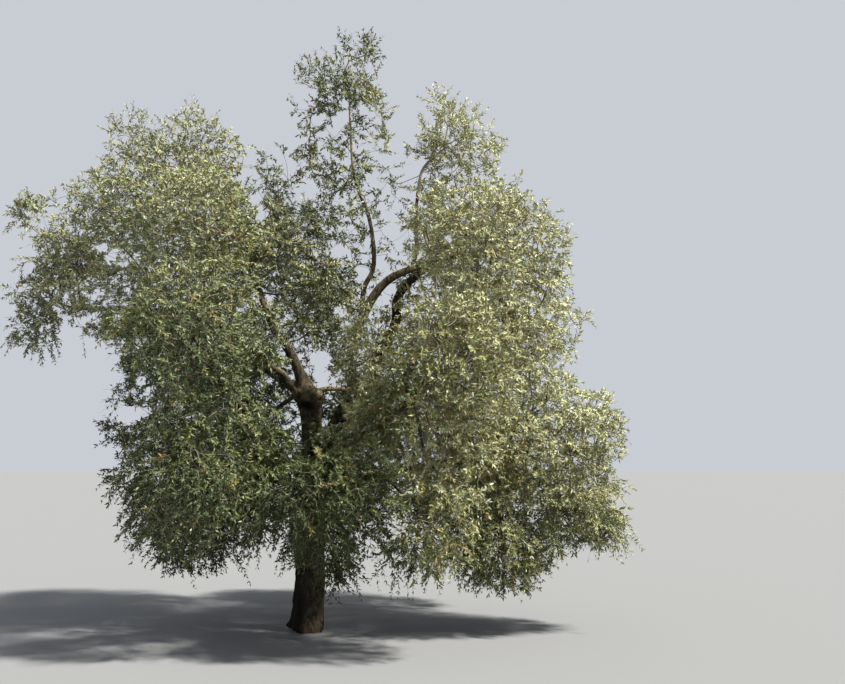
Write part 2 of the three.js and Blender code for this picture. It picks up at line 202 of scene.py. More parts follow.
# Where the sky shows through the crown in the picture: middle and radius in its pixels
SKY_GAPS = [
    (103, 248, 5), (113, 254, 6), (107, 261, 4), (110, 362, 12), (104, 385, 15), (126, 414, 13),
    (96, 408, 14), (142, 380, 6), (147, 392, 5), (256, 199, 8), (263, 216, 6), (266, 135, 16),
    (252, 160, 6), (286, 140, 8), (288, 165, 7), (302, 190, 6), (170, 104, 7), (214, 111, 8), (240, 134, 7),
    (230, 121, 6), (25, 247, 8), (53, 210, 6), (14, 279, 6), (323, 361, 12), (322, 378, 8), (335, 381, 4),
    (382, 302, 8), (338, 312, 5), (337, 252, 9), (349, 206, 5), (350, 230, 5), (340, 230, 4), (361, 271, 6),
    (366, 256, 5), (366, 242, 4), (391, 228, 8), (400, 243, 8), (381, 266, 7), (378, 172, 5), (320, 119, 7),
    (347, 116, 6), (336, 123, 5), (342, 102, 5), (365, 108, 6), (327, 76, 5), (366, 146, 4), (340, 162, 4),
    (311, 89, 3), (284, 105, 8), (393, 125, 9), (400, 150, 6), (410, 140, 8), (411, 163, 7), (423, 179, 4),
    (421, 255, 4), (448, 237, 4), (455, 259, 3), (512, 158, 13), (530, 182, 8), (545, 194, 5),
    (535, 214, 3), (446, 130, 4), (576, 331, 5), (241, 311, 5), (287, 413, 4), (289, 426, 3),
    (600, 366, 18), (638, 432, 10), (167, 109, 8), (45, 221, 8), (30, 268, 7), (66, 296, 6), (96, 320, 6),
    (64, 198, 5), (121, 378, 8), (146, 412, 7), (298, 96, 7), (291, 64, 6), (368, 68, 7), (369, 115, 8),
    (389, 98, 8), (345, 23, 7), (522, 187, 7), (552, 206, 6), (575, 240, 5), (577, 306, 6), (488, 119, 7),
    (429, 116, 7), (394, 168, 6), (372, 181, 5), (408, 235, 6), (342, 265, 5), (255, 170, 5), (281, 160, 6),
    (311, 196, 6), (385, 160, 7), (505, 172, 8), (246, 172, 7), (378, 82, 6), (308, 96, 5), (492, 155, 5),
    (535, 192, 6), (30, 252, 6), (60, 212, 5), (367, 72, 5), (382, 45, 6), (636, 443, 12), (588, 379, 6),
    (318, 371, 6), (314, 360, 6), (66, 318, 7), (74, 334, 8), (90, 340, 6), (16, 366, 11), (34, 362, 6),
    (584, 554, 9), (572, 562, 8),
]
# The edges of the gaps are ragged: the size and depth of the rags in the picture's pixels.
RAG_SIZE, RAG_DEPTH = 5.0, 4.0
# Where the wood of the fork shows in the picture: nothing grows there nearer to the eye than BEFORE_FORK.
BARE_FORK = [
    (287, 380, 14), (302, 396, 13), (299, 368, 9), (290, 352, 8), (309, 412, 11), (306, 432, 6),
    (326, 391, 9), (342, 391, 7), (338, 418, 8), (372, 290, 8), (388, 274, 8), (404, 268, 7), (392, 290, 8),
]
BEFORE_FORK = -0.06
# Sprays that hang in the open between the masses: middle, half sizes along x, y and z, and how many twigs.
SPRAYS = [
    ((0.33, -0.45, 0.80), (0.15, 0.20, 0.34), 60), ((0.03, -0.50, 1.08), (0.20, 0.20, 0.28), 50),
    ((-0.02, 0.25, 2.62), (0.07, 0.20, 0.25), 16), ((0.20, 0.25, 2.96), (0.20, 0.25, 0.13), 26),
    ((0.30, 0.20, 2.62), (0.08, 0.20, 0.20), 16), ((0.22, 0.30, 2.18), (0.08, 0.15, 0.14), 12),
    ((1.05, 0.20, 1.95), (0.28, 0.35, 0.20), 50), ((-0.18, 0.10, 1.90), (0.12, 0.20, 0.20), 20),
    ((0.80, 0.00, 4.50), (0.12, 0.20, 0.30), 12), ((-2.35, 0.00, 3.62), (0.38, 0.30, 0.24), 75),
    ((2.40, 0.00, 2.38), (0.22, 0.20, 0.22), 32), ((1.84, 0.00, 4.72), (0.10, 0.15, 0.14), 10),
    ((0.00, 0.10, 4.18), (0.14, 0.20, 0.14), 18), ((-0.12, 0.15, 2.96), (0.10, 0.20, 0.18), 16),
    ((0.30, 0.25, 2.22), (0.07, 0.12, 0.07), 8), ((-0.45, -1.05, 1.98), (0.32, 0.22, 0.30), 70),
    ((0.85, -1.05, 1.93), (0.32, 0.22, 0.26), 70), ((-0.22, -0.95, 1.72), (0.20, 0.16, 0.18), 45),
    ((0.55, 0.00, 5.80), (0.10, 0.12, 0.12), 14), ((1.33, -0.05, 5.20), (0.08, 0.12, 0.10), 12),
    ((-0.62, -0.40, 2.80), (0.22, 0.15, 0.16), 34), ((-0.62, -0.30, 3.25), (0.12, 0.12, 0.20), 20),
    ((-0.42, -0.28, 2.66), (0.12, 0.10, 0.12), 16), ((-0.62, -1.45, 2.38), (0.26, 0.12, 0.22), 40),
    ((0.42, -0.22, 2.12), (0.14, 0.08, 0.20), 14), ((-1.90, 0.10, 5.05), (0.13, 0.15, 0.10), 16),
    ((0.10, -0.22, 1.92), (0.10, 0.05, 0.18), 10), ((0.44, -0.28, 2.62), (0.10, 0.08, 0.28), 26),
    ((2.05, -0.35, 1.55), (0.45, 0.25, 0.30), 70), ((2.50, -0.20, 1.30), (0.30, 0.30, 0.25), 40),
    ((0.85, -1.25, 2.15), (0.30, 0.12, 0.22), 50), ((0.55, -0.85, 1.95), (0.22, 0.12, 0.20), 30),
    ((0.56, -0.30, 2.72), (0.13, 0.10, 0.30), 46), ((0.60, -0.30, 2.25), (0.14, 0.08, 0.16), 26),
    ((-2.88, 0.00, 4.12), (0.14, 0.12, 0.13), 18), ((-2.74, 0.00, 2.98), (0.20, 0.15, 0.22), 34),
    ((0.00, 0.00, 4.80), (0.10, 0.15, 0.20), 14), ((0.10, 1.20, 3.30), (0.40, 0.30, 0.35), 40),
    ((-0.33, -0.22, 3.02), (0.10, 0.06, 0.14), 14), ((0.50, -0.34, 3.06), (0.10, 0.06, 0.14), 20),
    ((2.96, -0.05, 1.02), (0.14, 0.20, 0.22), 26), ((1.25, -0.45, 0.80), (0.45, 0.25, 0.16), 60),
]
# The level of noise below which a place is airy, for most masses and for those that grow in clumps.
AIRY = -0.25
AIRIER = {"tip": 0.10, "tip_left": 0.10, "tip_middle": 0.08, "column_right": 0.05, "column_middle": 0.0}
# How much more of the airy places is left bare in those.
AIRIER_CLEARS = 1.3
# How full of leaves a mass is, against the usual.
FULLNESS = {
    "column_right": 0.6, "left_sprig": 0.7, "front_skirt": 1.6, "column_front": 1.2, "left_skirt_inner": 1.2,
    "tip_middle": 1.05, "column_middle": 1.25, "column_low": 1.1, "behind_left": 1.2, "right_top": 1.3,
    "right_mid": 1.2, "right_low": 1.3, "right_upper": 1.1, "right_far": 1.25, "right_far_low": 1.4,
    "right_skirt": 1.4,
}
# How many leafy twigs there are for each metre of the boughs that carry them outside the masses.
CLOTHED = {
    "front_left_bough": 36, "front_right_bough": 40, "front_low_bough": 60, "low_left_bough": 30,
    "low_right_bough": 36, "left_fork": 10, "left_bough": 12, "right_bough": 24, "arch_bough": 20,
    "centre_leader": 26, "right_leader": 30, "back_left_bough": 20, "back_right_bough": 20,
    "back_low_bough": 20,
}
# How far off a bough they stand, and after what share of its length they begin.
CLOTHED_CLEAR, CLOTHED_REACH = 0.06, 0.30
CLOTHED_FROM = 0.22
# How far the shoots of a mass bend down along their length: less than nothing is upwards.
DROOP = {
    "left_skirt": 0.5, "left_skirt_inner": 0.5, "front_skirt": 0.55, "front_left_skirt": 0.45,
    "front_right_skirt": 0.5, "right_skirt": 0.5, "right_far_low": 0.5, "right_far": 0.42, "right_low": 0.42,
    "left_low": 0.35, "back_low": 0.5, "back_left_skirt": 0.5, "back_right_skirt": 0.5, "tip": -0.1,
    "tip_left": -0.1, "left_top": -0.05, "right_top": -0.05, "tip_middle": 0.0, "left_upper": 0.1,
    "right_upper": 0.15,
}
USUAL_DROOP = 0.25


# The masses of foliage, as closed shapes that say how deep a place lies in them
FOLIAGE = "foliage_"
# A mass with a smaller half size than this, on average, lets the wood nearer to its outside.
FULL_SIZE = 0.55
# A mass with a smaller half size than this is fuller of leaves, up to so many times as full.
THICKENED_SIZE, MOST_THICKENED = 0.60, 1.8


class Mass:
    def __init__(self, name, node):
        self.low, self.high = (np.array(corner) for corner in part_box(name))
        self.middle = (self.low + self.high) / 2
        self.half = (self.high - self.low) / 2
        plain_name = name.removeprefix(FOLIAGE)
        size = self.half.mean()
        self.bulk = min(1.0, (size / FULL_SIZE) ** 2)
        self.fullness = FULLNESS.get(plain_name, 1.0) * min(MOST_THICKENED, max(1.0, THICKENED_SIZE / size))
        self.droop = DROOP.get(plain_name, USUAL_DROOP)
        self.airy = AIRIER.get(plain_name, AIRY)
        self.clearing = AIRIER_CLEARS if plain_name in AIRIER else 1.0
        mesh = node.data
        mesh.calc_loop_triangles()
        corners = [v.co for v in mesh.vertices]
        self.faces = BVHTree.FromPolygons(corners, [t.vertices for t in mesh.loop_triangles])

    def depth(self, place):
        """How far inside the mass a place lies, or less than nothing outside it."""
        at, facing, _, away = self.faces.find_nearest(Vector(place))
        return away if (Vector(place) - at).dot(facing) < 0 else -away

    def near(self, places, margin):
        """Whether places lie in the mass's box or within this margin of it."""
        return np.all((places > self.low - margin) & (places < self.high + margin), axis=1)


masses = [Mass(name, node) for name, node in sorted(frame["nodes"].items()) if name.startswith(FOLIAGE)]
middles = np.array([mass.middle for mass in masses])


def nearest_mass(places):
    """The number of the mass whose middle is nearest to each place."""
    return np.linalg.norm(places[:, None] - middles[None], axis=2).argmin(axis=1)


class Crown:
    """All the masses together, as a grid of cells that says how deep in the crown a place lies."""

    CELL = 0.08
    # How far outside a mass the middle of a cell may be and still count as inside.
    SLACK = 0.02

    def __init__(self):
        self.low = np.min([mass.low for mass in masses], axis=0) - 2 * self.CELL
        high = np.max([mass.high for mass in masses], axis=0) + 2 * self.CELL
        inside = np.zeros(np.ceil((high - self.low) / self.CELL).astype(int), bool)
        for mass in masses:
            first = np.floor((mass.low - self.low) / self.CELL).astype(int)
            last = np.ceil((mass.high - self.low) / self.CELL).astype(int)
            for cell in np.ndindex(*(last - first)):
                at = tuple(first + cell)
                if not inside[at] and mass.depth(self.low + (np.array(at) + 0.5) * self.CELL) > -self.SLACK:
                    inside[at] = True
        layers = np.zeros(inside.shape)
        while inside.any():
            layers += inside
            kept = inside.copy()
            for axis in range(3):
                kept &= np.roll(inside, 1, axis) & np.roll(inside, -1, axis)
            inside = kept
        for axis in range(3):
            layers = (np.roll(layers, 1, axis) + 2 * layers + np.roll(layers, -1, axis)) / 4
        self.layers = layers
        self.slope = np.stack(np.gradient(layers), axis=-1)

    def cells(self, places):
        at = np.floor((places - self.low) / self.CELL).astype(int)
        return tuple(np.clip(at, 0, np.array(self.layers.shape) - 1).T)

    def depth(self, places):
        """How far places lie inside the crown, counted in whole cells from its outside."""
        return (self.layers[self.cells(places)] - 0.5) * self.CELL

    def outward(self, places):
        """The way out of the crown from each place."""
        return unit(-self.slope[self.cells(places)])


crown = Crown()


def in_gap(places, ease=1.0):
    """How far inside the nearest gap in the crown each place shows, from 0 at its edge to 1 at its middle."""
    pixels = seen_at(places)
    flat = np.concatenate([pixels / RAG_SIZE, np.zeros((len(pixels), 1))], axis=1)
    rags = np.stack([lattice_noise(flat, seed=31), lattice_noise(flat, seed=32)], axis=1)
    pixels = pixels + RAG_DEPTH * rags
    most = np.zeros(len(places))
    for gaps, applies in ((SKY_GAPS, True), (BARE_FORK, places[:, 1] < BEFORE_FORK)):
        for u, v, radius in gaps:
            off = np.hypot(pixels[:, 0] - u, pixels[:, 1] - v) / (radius * ease)
            most = np.where(applies, np.maximum(most, 1 - off), most)
    return most


# Places that the sun reaches through the crown, how wide the way to each is at its end, and how much wider
# the way gets for each metre towards the sun.
SUNLIGHT = (-0.55, 0.22, -0.80)
SUNBEAMS = [((0.28, -0.08, 2.36), 0.13), ((0.04, -0.06, 2.46), 0.10), ((-0.20, -0.08, 2.50), 0.08),
            ((0.55, -0.32, 2.70), 0.16), ((0.62, -0.50, 2.15), 0.16)]
BEAM_SPREAD = 0.03


def in_beam(places):
    """Whether each place would stand in the way of a sunbeam."""
    to_sun = -unit(np.array(SUNLIGHT))
    blocks = np.zeros(len(places), bool)
    for lit, wide in SUNBEAMS:
        out = places - np.array(lit)
        along = out @ to_sun
        off = np.linalg.norm(out - along[:, None] * to_sun, axis=1)
        blocks |= (along > wide) & (off < wide + BEAM_SPREAD * along)
    return blocks


# Goals: places for the wood to grow to
# How thick the leafy shell of the crown is.
SHELL = 0.34
# How near a place has to be to two masses to lie in the valley between them.
VALLEY = 0.12
# How far a goal strays from the middle of its cell, as a share of the cell.
GOAL_STRAY = 0.48
# How large the airy patches are, and the smaller ones that break them up half as strongly.
AIR_PATCHES, SMALL_AIR_PATCHES = 0.42, 0.2
# Goals along a bough end just short of its last point.
SHORT_OF_END = 0.001
# How much wider the gaps count for goals, and how far into them goals may lie.
GAP_EASE, INTO_GAP = 1.1, 0.12


def come_on(values, start, span):
    """How far values have come on from a start over a span, from 0 to 1."""
    return np.clip((values - start) / span, 0, 1)


def grid_cells(low, high, pitch):
    """The cells that fill a box, each as the number of cells before it along x, y and z."""
    counts = np.maximum(1, np.ceil((high - low) / pitch)).astype(int)
    return np.stack(np.meshgrid(*[np.arange(c) for c in counts], indexing="ij"), axis=-1).reshape(-1, 3)


def clear_of_gaps(places):
    return in_gap(places, GAP_EASE) < INTO_GAP


def goals(pitch, least_depth, keep_core, thin):
    """Goals spread evenly through the masses, with the number of the mass of each."""
    found, owner, chances = [], [], []
    for number, mass in enumerate(masses):
        cells = grid_cells(mass.low, mass.high, pitch)
        spots = mass.low + (cells + 0.5 + draw.uniform(-GOAL_STRAY, GOAL_STRAY, cells.shape)) * pitch
        chance = draw.random(len(spots))
        air = lattice_noise(spots / AIR_PATCHES, seed=5)
        air = air + 0.5 * lattice_noise(spots / SMALL_AIR_PATCHES, seed=6)
        leafy = mass.fullness * (1 - thin * mass.clearing * (air < mass.airy))
        for at in np.nonzero(chance < leafy)[0]:
            if mass.depth(spots[at]) >= least_depth * mass.bulk:
                found.append(spots[at])
                owner.append(number)
                chances.append(chance[at] / mass.fullness)
    found, owner, chances = np.array(found), np.array(owner), np.array(chances)
    core = come_on(crown.depth(found), SHELL, SHELL)
    kept = (chances < 1 - core * (1 - keep_core)) & clear_of_gaps(found) & ~in_beam(found)
    return found[kept], owner[kept]


def valley_goals(pitch):
    """Goals in the valleys between neighbouring masses, where the crown hides the sky from the eye anyway."""
    cells = grid_cells(crown.low, np.max([mass.high for mass in masses], axis=0), pitch)
    spots = crown.low + (cells + draw.uniform(0, 1, cells.shape)) * pitch
    near = np.stack([mass.near(spots, VALLEY) for mass in masses])
    found = []
    for at in np.nonzero(near.sum(axis=0) > 1)[0]:
        depths = [masses[number].depth(spots[at]) for number in np.nonzero(near[:, at])[0]]
        if max(depths) > 0 or sum(depth > -VALLEY for depth in depths) < 2:
            continue
        eye, way = Vector(EYE), Vector(spots[at] - EYE).normalized()
        if any(mass.faces.ray_cast(eye, way)[0] for mass in masses):
            found.append(spots[at])
    found = np.array(found)
    return found[clear_of_gaps(found) & ~in_beam(found)]


def bough_goals():
    """Goals round the boughs on their way to the masses, and in the open sprays, for leafy twigs."""
    found = []
    for name, often in CLOTHED.items():
        line = limb_lines[name][:, :3]
        line = line[int(len(line) * CLOTHED_FROM):]
        length = np.linalg.norm(np.diff(line, axis=0), axis=1).sum()
        count = int(often * length)
        at = draw.uniform(0, len(line) - (1 + SHORT_OF_END), count)
        low = at.astype(int)
        spots = line[low] + (at - low)[:, None] * (line[low + 1] - line[low])
        away = unit(draw.normal(0, 1, (count, 3)))
        found.append(spots + away * draw.uniform(CLOTHED_CLEAR, CLOTHED_REACH, count)[:, None])
    for middle, half, count in SPRAYS:
        ball = unit(draw.normal(0, 1, (count, 3))) * draw.random(count)[:, None] ** (1 / 3)
        found.append(np.array(middle) + ball * half)
    found = np.concatenate(found)
    return found[clear_of_gaps(found)]


# The growing wood
LIMB_SPACING = 0.05
# How reluctantly wood grows from a limb: for each metre to the limb's end, and at the end itself.
LIMB_RELUCTANCE, TRUNK_RELUCTANCE, END_RELUCTANCE = 0.55, 3.0, 0.1
# How firmly wood keeps its parent's heading as it leaves it, and how much it turns up as it arrives.
KEEPS_HEADING, TURNS_UP = 0.55, 0.25
# How many points of wood are compared with the goals in one step.
COMPARED = 400


class Wood:
    """Points of wood as they grew: place, parent, length of path behind each, and thickness where given."""

    def __init__(self):
        self.place, self.parent, self.path, self.given = [], [], [], []

    def add(self, place, parent, path, given=0.0):
        self.place.append(np.asarray(place, float))
        self.parent.append(parent)
        self.path.append(path)
        self.given.append(given)
        return len(self.place) - 1

    def heading(self, point):
        behind = self.parent[point]
        if behind < 0:
            return UP
        return unit(self.place[point] - self.place[behind])

    def add_limb(self, stops, reluctance=LIMB_RELUCTANCE):
        """A limb from the solids. Growth joins it more readily the nearer that is to its end."""
        line = smooth_path(np.array(stops) / 1000, LIMB_SPACING)
        start = -1
        if self.place:
            start = int(np.argmin(np.linalg.norm(np.array(self.place) - line[0, :3], axis=1)))
        length = np.linalg.norm(np.diff(line[:, :3], axis=0), axis=1).sum()
        for step, (x, y, z, radius) in enumerate(line):
            behind = length * (1 - step / (len(line) - 1))
            start = self.add((x, y, z), start, behind * reluctance + END_RELUCTANCE, radius)
        return line

    def grow_to(self, targets, balance, spacing, wander):
        """Grows to every target, nearest first, and returns the point of wood that each one became."""
        place, path = np.array(self.place), np.array(self.path)
        cost = np.full(len(targets), np.inf)
        source = np.zeros(len(targets), int)
        for at in range(0, len(place), COMPARED):
            some = slice(at, at + COMPARED)
            apart = np.linalg.norm(targets[:, None] - place[None, some], axis=2) + balance * path[some]
            nearest = apart.argmin(axis=1)
            least = apart[np.arange(len(targets)), nearest]
            better = least < cost
            cost[better] = least[better]
            source[better] = nearest[better] + at
        became = np.zeros(len(targets), int)
        wobble = draw.normal(0, 1, (len(targets), 3))
        for _ in range(len(targets)):
            pick = int(np.argmin(cost))
            cost[pick] = np.inf
            start = source[pick]
            # A source below nothing is another target, which is wood by now.
            parent = became[-start - 1] if start < 0 else start
            became[pick] = self.branch(parent, targets[pick], spacing, wobble[pick] * wander)
            reach = np.linalg.norm(targets - targets[pick], axis=1) + balance * self.path[became[pick]]
            better = (reach < cost) & np.isfinite(cost)
            cost[better] = reach[better]
            source[better] = -pick - 1
        return became

    def branch(self, parent, target, spacing, wobble):
        """One bending length of wood from a point to a target."""
        start = self.place[parent]
        chord = target - start
        length = np.linalg.norm(chord)
        steps = max(1, int(round(length / spacing)))
        leave = unit(self.heading(parent) * KEEPS_HEADING + chord / length) * length
        arrive = unit(chord / length + TURNS_UP * UP) * length
        last = parent
        for step in range(1, steps + 1):
            t = step / steps
            place = ((2 * t ** 3 - 3 * t ** 2 + 1) * start + (t ** 3 - 2 * t ** 2 + t) * leave
                     + (3 * t ** 2 - 2 * t ** 3) * target + (t ** 3 - t ** 2) * arrive)
            place = place + wobble * length * math.sin(math.pi * t)
            last = self.add(place, last, self.path[parent] + length * t)
        return last


wood = Wood()
trunk_line = wood.add_limb(TRUNK_STOPS, TRUNK_RELUCTANCE)
limb_lines = {name: wood.add_limb(stops) for name, stops in LIMB_STOPS.items()}

# Three rounds of growth: boughs, branches and twigs. Each has its pitch, least depth in the mass, share that
# the core of the crown keeps, share that its airy places lose, dislike of a long path, step and wander.
ROUNDS = [
    (0.52, 0.18, 1.0, 0.0, 0.30, 0.08, 0.05),
    (0.30, 0.13, 0.8, 0.2, 0.22, 0.07, 0.04),
    (0.118, 0.07, 0.16, 0.70, 0.15, 0.06, 0.03),
]
TWIG_ROUND = ROUNDS[-1]
for growth in ROUNDS:
    pitch, least_depth, keep_core, thin, balance, step, wander = growth
    targets, owner = goals(pitch, least_depth, keep_core, thin)
    if growth is TWIG_ROUND:
        clothing = np.concatenate([bough_goals(), valley_goals(pitch)])
        is_clothing = np.arange(len(targets) + len(clothing)) >= len(targets)
        owner = np.concatenate([owner, nearest_mass(clothing)])
        targets = np.concatenate([targets, clothing])
    became = wood.grow_to(targets, balance, step, wander)

place = np.array(wood.place)
parent = np.array(wood.parent)
given = np.array(wood.given)

# Shoots: one or two from the end of every twig, and a few straight from the boughs
SHOOT_STEPS = 2
SHORTEST_SHOOT, LONGEST_SHOOT = 0.13, 0.27
# The share of a bough's points that sprout, and how high up the lowest of them is.
SPROUTS, LOWEST_SPROUT = 0.30, 1.75
# What a shoot's heading is made of: its twig's heading, the way out, chance, and upwards, less if it droops.
BY_TWIG, BY_WAY_OUT, BY_CHANCE, UPWARDS, UPWARDS_LOST = 0.4, 0.40, 0.95, 0.40, 0.6
# How much of the way out of the whole crown is added to the way out of the mass.
OUT_OF_CROWN = 0.8
# The share of its drawn length that a shoot keeps, and what a full droop adds to that.
KEPT_LENGTH, DROOP_ADDS = 0.9, 0.3
# The least and most that a shoot bends, as shares of its droop.
LEAST_BEND, MOST_BEND = 0.4, 1.5
# How far a shoot may stand out of the masses. A few may stand out further.
LEAST_OUT, MOST_OUT, FEW, FEW_OUT = -0.08, 0.025, 0.12, 0.07
# The most that a shoot is cut, which is also for one that ends further than this from every mass's box, and
# the least that is worth keeping.
MOST_CUT, FAR_OFF, LEAST_LENGTH = 0.4, 0.2, 0.07
# How far along a shoot its middle is taken, how far into a gap that may lie, and how much more by chance.
MIDDLE_AT, INTO_GAP_SHOOT, INTO_GAP_CHANCE = 0.6, 0.10, 0.35
# The lowest end of a shoot, and how far outside the solids' box it may be, as a share of its sides.
CLEAR_OF_GROUND, SHOOT_SPARE = 0.33, 0.02


def in_box(places, spare):
    """Whether places keep within the solids' box, or this share of its sides outside it."""
    low, high = (np.array(corner) for corner in cad_box)
    room = (high - low) * spare
    return np.all((places > low - room) & (places < high + room), axis=1)


fullness = np.array([mass.fullness for mass in masses])
has_child = np.zeros(len(place), bool)
has_child[parent[parent >= 0]] = True
tips = ~has_child[became]
repeats = np.where(tips, 2, 1) * np.maximum(1, fullness[owner]) + draw.random(len(became))
repeats = np.floor(repeats).astype(int)
sprouting = np.nonzero((given > 0) & (place[:, 2] > LOWEST_SPROUT) & (draw.random(len(place)) < SPROUTS))[0]
base_point = np.concatenate([np.repeat(became, repeats), sprouting])
owners = np.concatenate([np.repeat(owner, repeats), nearest_mass(place[sprouting])])
is_free = np.concatenate([np.repeat(is_clothing, repeats), np.ones(len(sprouting), bool)])
base = place[base_point]
heading = unit(base - place[np.maximum(parent[base_point], 0)])
halves = np.array([mass.half for mass in masses])[owners]
outward = unit(unit((base - middles[owners]) / halves) + OUT_OF_CROWN * crown.outward(base))
droop = np.array([mass.droop for mass in masses])[owners]
hangs = np.clip(droop, 0, 1)
loose = unit(draw.normal(0, 1, base.shape))
lift = (UPWARDS - UPWARDS_LOST * hangs)[:, None] * UP
away = unit(BY_TWIG * heading + BY_WAY_OUT * outward + BY_CHANCE * loose + lift)
length = draw.uniform(SHORTEST_SHOOT, LONGEST_SHOOT, len(base)) * (KEPT_LENGTH + DROOP_ADDS * hangs)
bend = -UP * (droop * draw.uniform(LEAST_BEND, MOST_BEND, len(base)))[:, None]


def on_shoot(t):
    """Places and headings at shares t of the shoots' lengths, one row for each shoot."""
    t = t[..., None]
    spot = base[:, None] + length[:, None, None] * (away[:, None] * t + bend[:, None] * t * t)
    along = unit(away[:, None] + 2 * bend[:, None] * t)
    return spot, along


def outside(places, margin):
    """How far each place lies outside every mass within this margin of it."""
    least = np.full(len(places), np.inf)
    for mass in masses:
        for at in np.nonzero(mass.near(places, margin))[0]:
            if least[at] > 0:
                least[at] = min(least[at], -mass.depth(places[at]))
    return least


# A shoot that reaches too far out of the crown is cut, and one that would be a stub is left out.
whole = np.full((len(base), 1), 1.0)
end_spot, _ = on_shoot(whole)
allowed = np.where(draw.random(len(base)) < FEW, FEW_OUT, draw.uniform(LEAST_OUT, MOST_OUT, len(base)))
length = length - np.where(is_free, 0, np.clip(outside(end_spot[:, 0], FAR_OFF) - allowed, 0, MOST_CUT))
middle_spot, _ = on_shoot(whole * MIDDLE_AT)
end_spot, _ = on_shoot(whole)
strays = INTO_GAP_SHOOT + INTO_GAP_CHANCE * draw.random(len(base)) ** 2
keep = (length > LEAST_LENGTH) & (in_gap(middle_spot[:, 0]) < strays) & in_box(end_spot[:, 0], SHOOT_SPARE)
keep &= end_spot[:, 0, 2] > CLEAR_OF_GROUND
base, away, bend, length, base_point, outward = (
    a[keep] for a in (base, away, bend, length, base_point, outward))

# Leaves: opposite pairs along each shoot, each pair a quarter turn on from the last
LEAF_LONG, LEAF_WIDE, LEAF_FOLD = 0.053, 0.0185, 0.0030
# How far a leaf's widest place lies back from its middle: a quarter of this share of its length.
LEAF_BELLY_BACK = 0.32
PAIR_SPACING = 0.0185
LEAST_PAIRS, MOST_PAIRS = 4, 14
# Where along the shoot the leaves begin, and where in its share of the shoot a leaf may stand.
LEAVES_FROM, EARLIEST, LATEST = 0.12, 0.1, 0.9
# How loosely a leaf keeps its quarter turn, and how far it leans out from the shoot, less towards the tip.
TURN_CHANCE, LEAST_SPLAY, MOST_SPLAY, TIP_SPLAY_LOST = 0.3, 25, 90, 0.30
# How much a leaf sags, and what turns its upper side: upwards, the way out of the crown, and chance.
SAG, FACES_UP, FACES_OUT, FACES_BY_CHANCE = 0.25, 0.45, 0.35, 0.50
# A leaf's size against the usual, what it loses of that at the shoot's tip, and the share of leaves kept.
LEAST_SIZE, MOST_SIZE, TIP_SIZE_LOST = 0.65, 1.15, 0.30
LEAVES_KEPT = 0.90
# A direction that no shoot keeps to, from which the turns round a shoot are counted.
NEARLY_UP = UP + 0.01
# How surely a leaf is left out in the middle of a gap, judged this far along the leaf.
GAP_CLEARS, JUDGED_AT = 2.2, 0.03
# How far outside the solids' box a leaf may reach, as a share of its sides, and the lowest place of a leaf.
LEAF_SPARE, LOWEST_LEAF = 0.026, 0.28

pairs = np.clip((length / PAIR_SPACING).astype(int), LEAST_PAIRS, MOST_PAIRS)
number = np.arange(MOST_PAIRS)
within = draw.uniform(EARLIEST, LATEST, (len(base), MOST_PAIRS))
t = LEAVES_FROM + (1 - LEAVES_FROM) * (number[None] + within) / pairs[:, None]
t = np.minimum(t, 1.0)
spot, along = on_shoot(t)
side = unit(np.cross(along, NEARLY_UP))
other = np.cross(along, side)
turn = draw.uniform(0, 2 * math.pi, len(base))[:, None] + number[None] * math.pi / 2
leaf_parts = []
for half_turn in (0.0, math.pi):
    angle = turn + half_turn + draw.normal(0, TURN_CHANCE, turn.shape)
    splay = np.radians(draw.uniform(LEAST_SPLAY, MOST_SPLAY, turn.shape)) * (1 - TIP_SPLAY_LOST * t)
    out, ahead = np.sin(splay)[..., None], np.cos(splay)[..., None]
    radial = np.cos(angle)[..., None] * side + np.sin(angle)[..., None] * other
    blade = unit(ahead * along + out * radial - SAG * UP * draw.random(turn.shape)[..., None])
    upper = unit(out * along - ahead * radial) + FACES_UP * UP + FACES_OUT * outward[:, None]
    upper = upper + FACES_BY_CHANCE * draw.normal(0, 1, upper.shape)
    upper = unit(upper - blade * np.sum(upper * blade, axis=2, keepdims=True))
    size = draw.uniform(LEAST_SIZE, MOST_SIZE, turn.shape) * (1 - TIP_SIZE_LOST * t ** 3)
    shown = (number[None] < pairs[:, None]) & (draw.random(turn.shape) < LEAVES_KEPT)
    shoot = np.broadcast_to(np.arange(len(base))[:, None], turn.shape)
    leaf_parts.append([a[shown] for a in (spot, blade, upper, size, shoot)])
leaf_at, leaf_along, leaf_upper, leaf_size, leaf_shoot = (np.concatenate(a) for a in zip(*leaf_parts))
hidden = draw.random(len(leaf_at)) < GAP_CLEARS * in_gap(leaf_at + leaf_along * JUDGED_AT)
stays = ~(hidden | in_beam(leaf_at)) & in_box(leaf_at + leaf_along * LEAF_LONG, LEAF_SPARE)
stays &= leaf_at[:, 2] > LOWEST_LEAF
leaf_at, leaf_along, leaf_upper, leaf_size, leaf_shoot = (
    a[stays] for a in (leaf_at, leaf_along, leaf_upper, leaf_size, leaf_shoot))

# Colours of the leaves, dealt out by shoot. The first six run from dark to light, and their tone carries
# painted light and shade.
LEAF_COLOURS = {
    "shade": (0.032, 0.043, 0.011), "deep": (0.065, 0.084, 0.022), "green": (0.119, 0.141, 0.044),
    "olive": (0.208, 0.207, 0.072), "pale": (0.300, 0.300, 0.142), "straw": (0.45, 0.45, 0.25),
    "gold": (0.156, 0.124, 0.038), "silver": (0.310, 0.340, 0.260), "cool_deep": (0.060, 0.080, 0.033),
    "sage": (0.112, 0.140, 0.064), "grey_green": (0.194, 0.214, 0.108), "bronze": (0.222, 0.190, 0.068),
}
# The tones at which each of the first six gives way to the next, and how far leaves differ from their shoot.
TONE_STEPS = [0.08, 0.30, 0.53, 0.76, 1.02]
LEAF_DIFFERS = 0.09
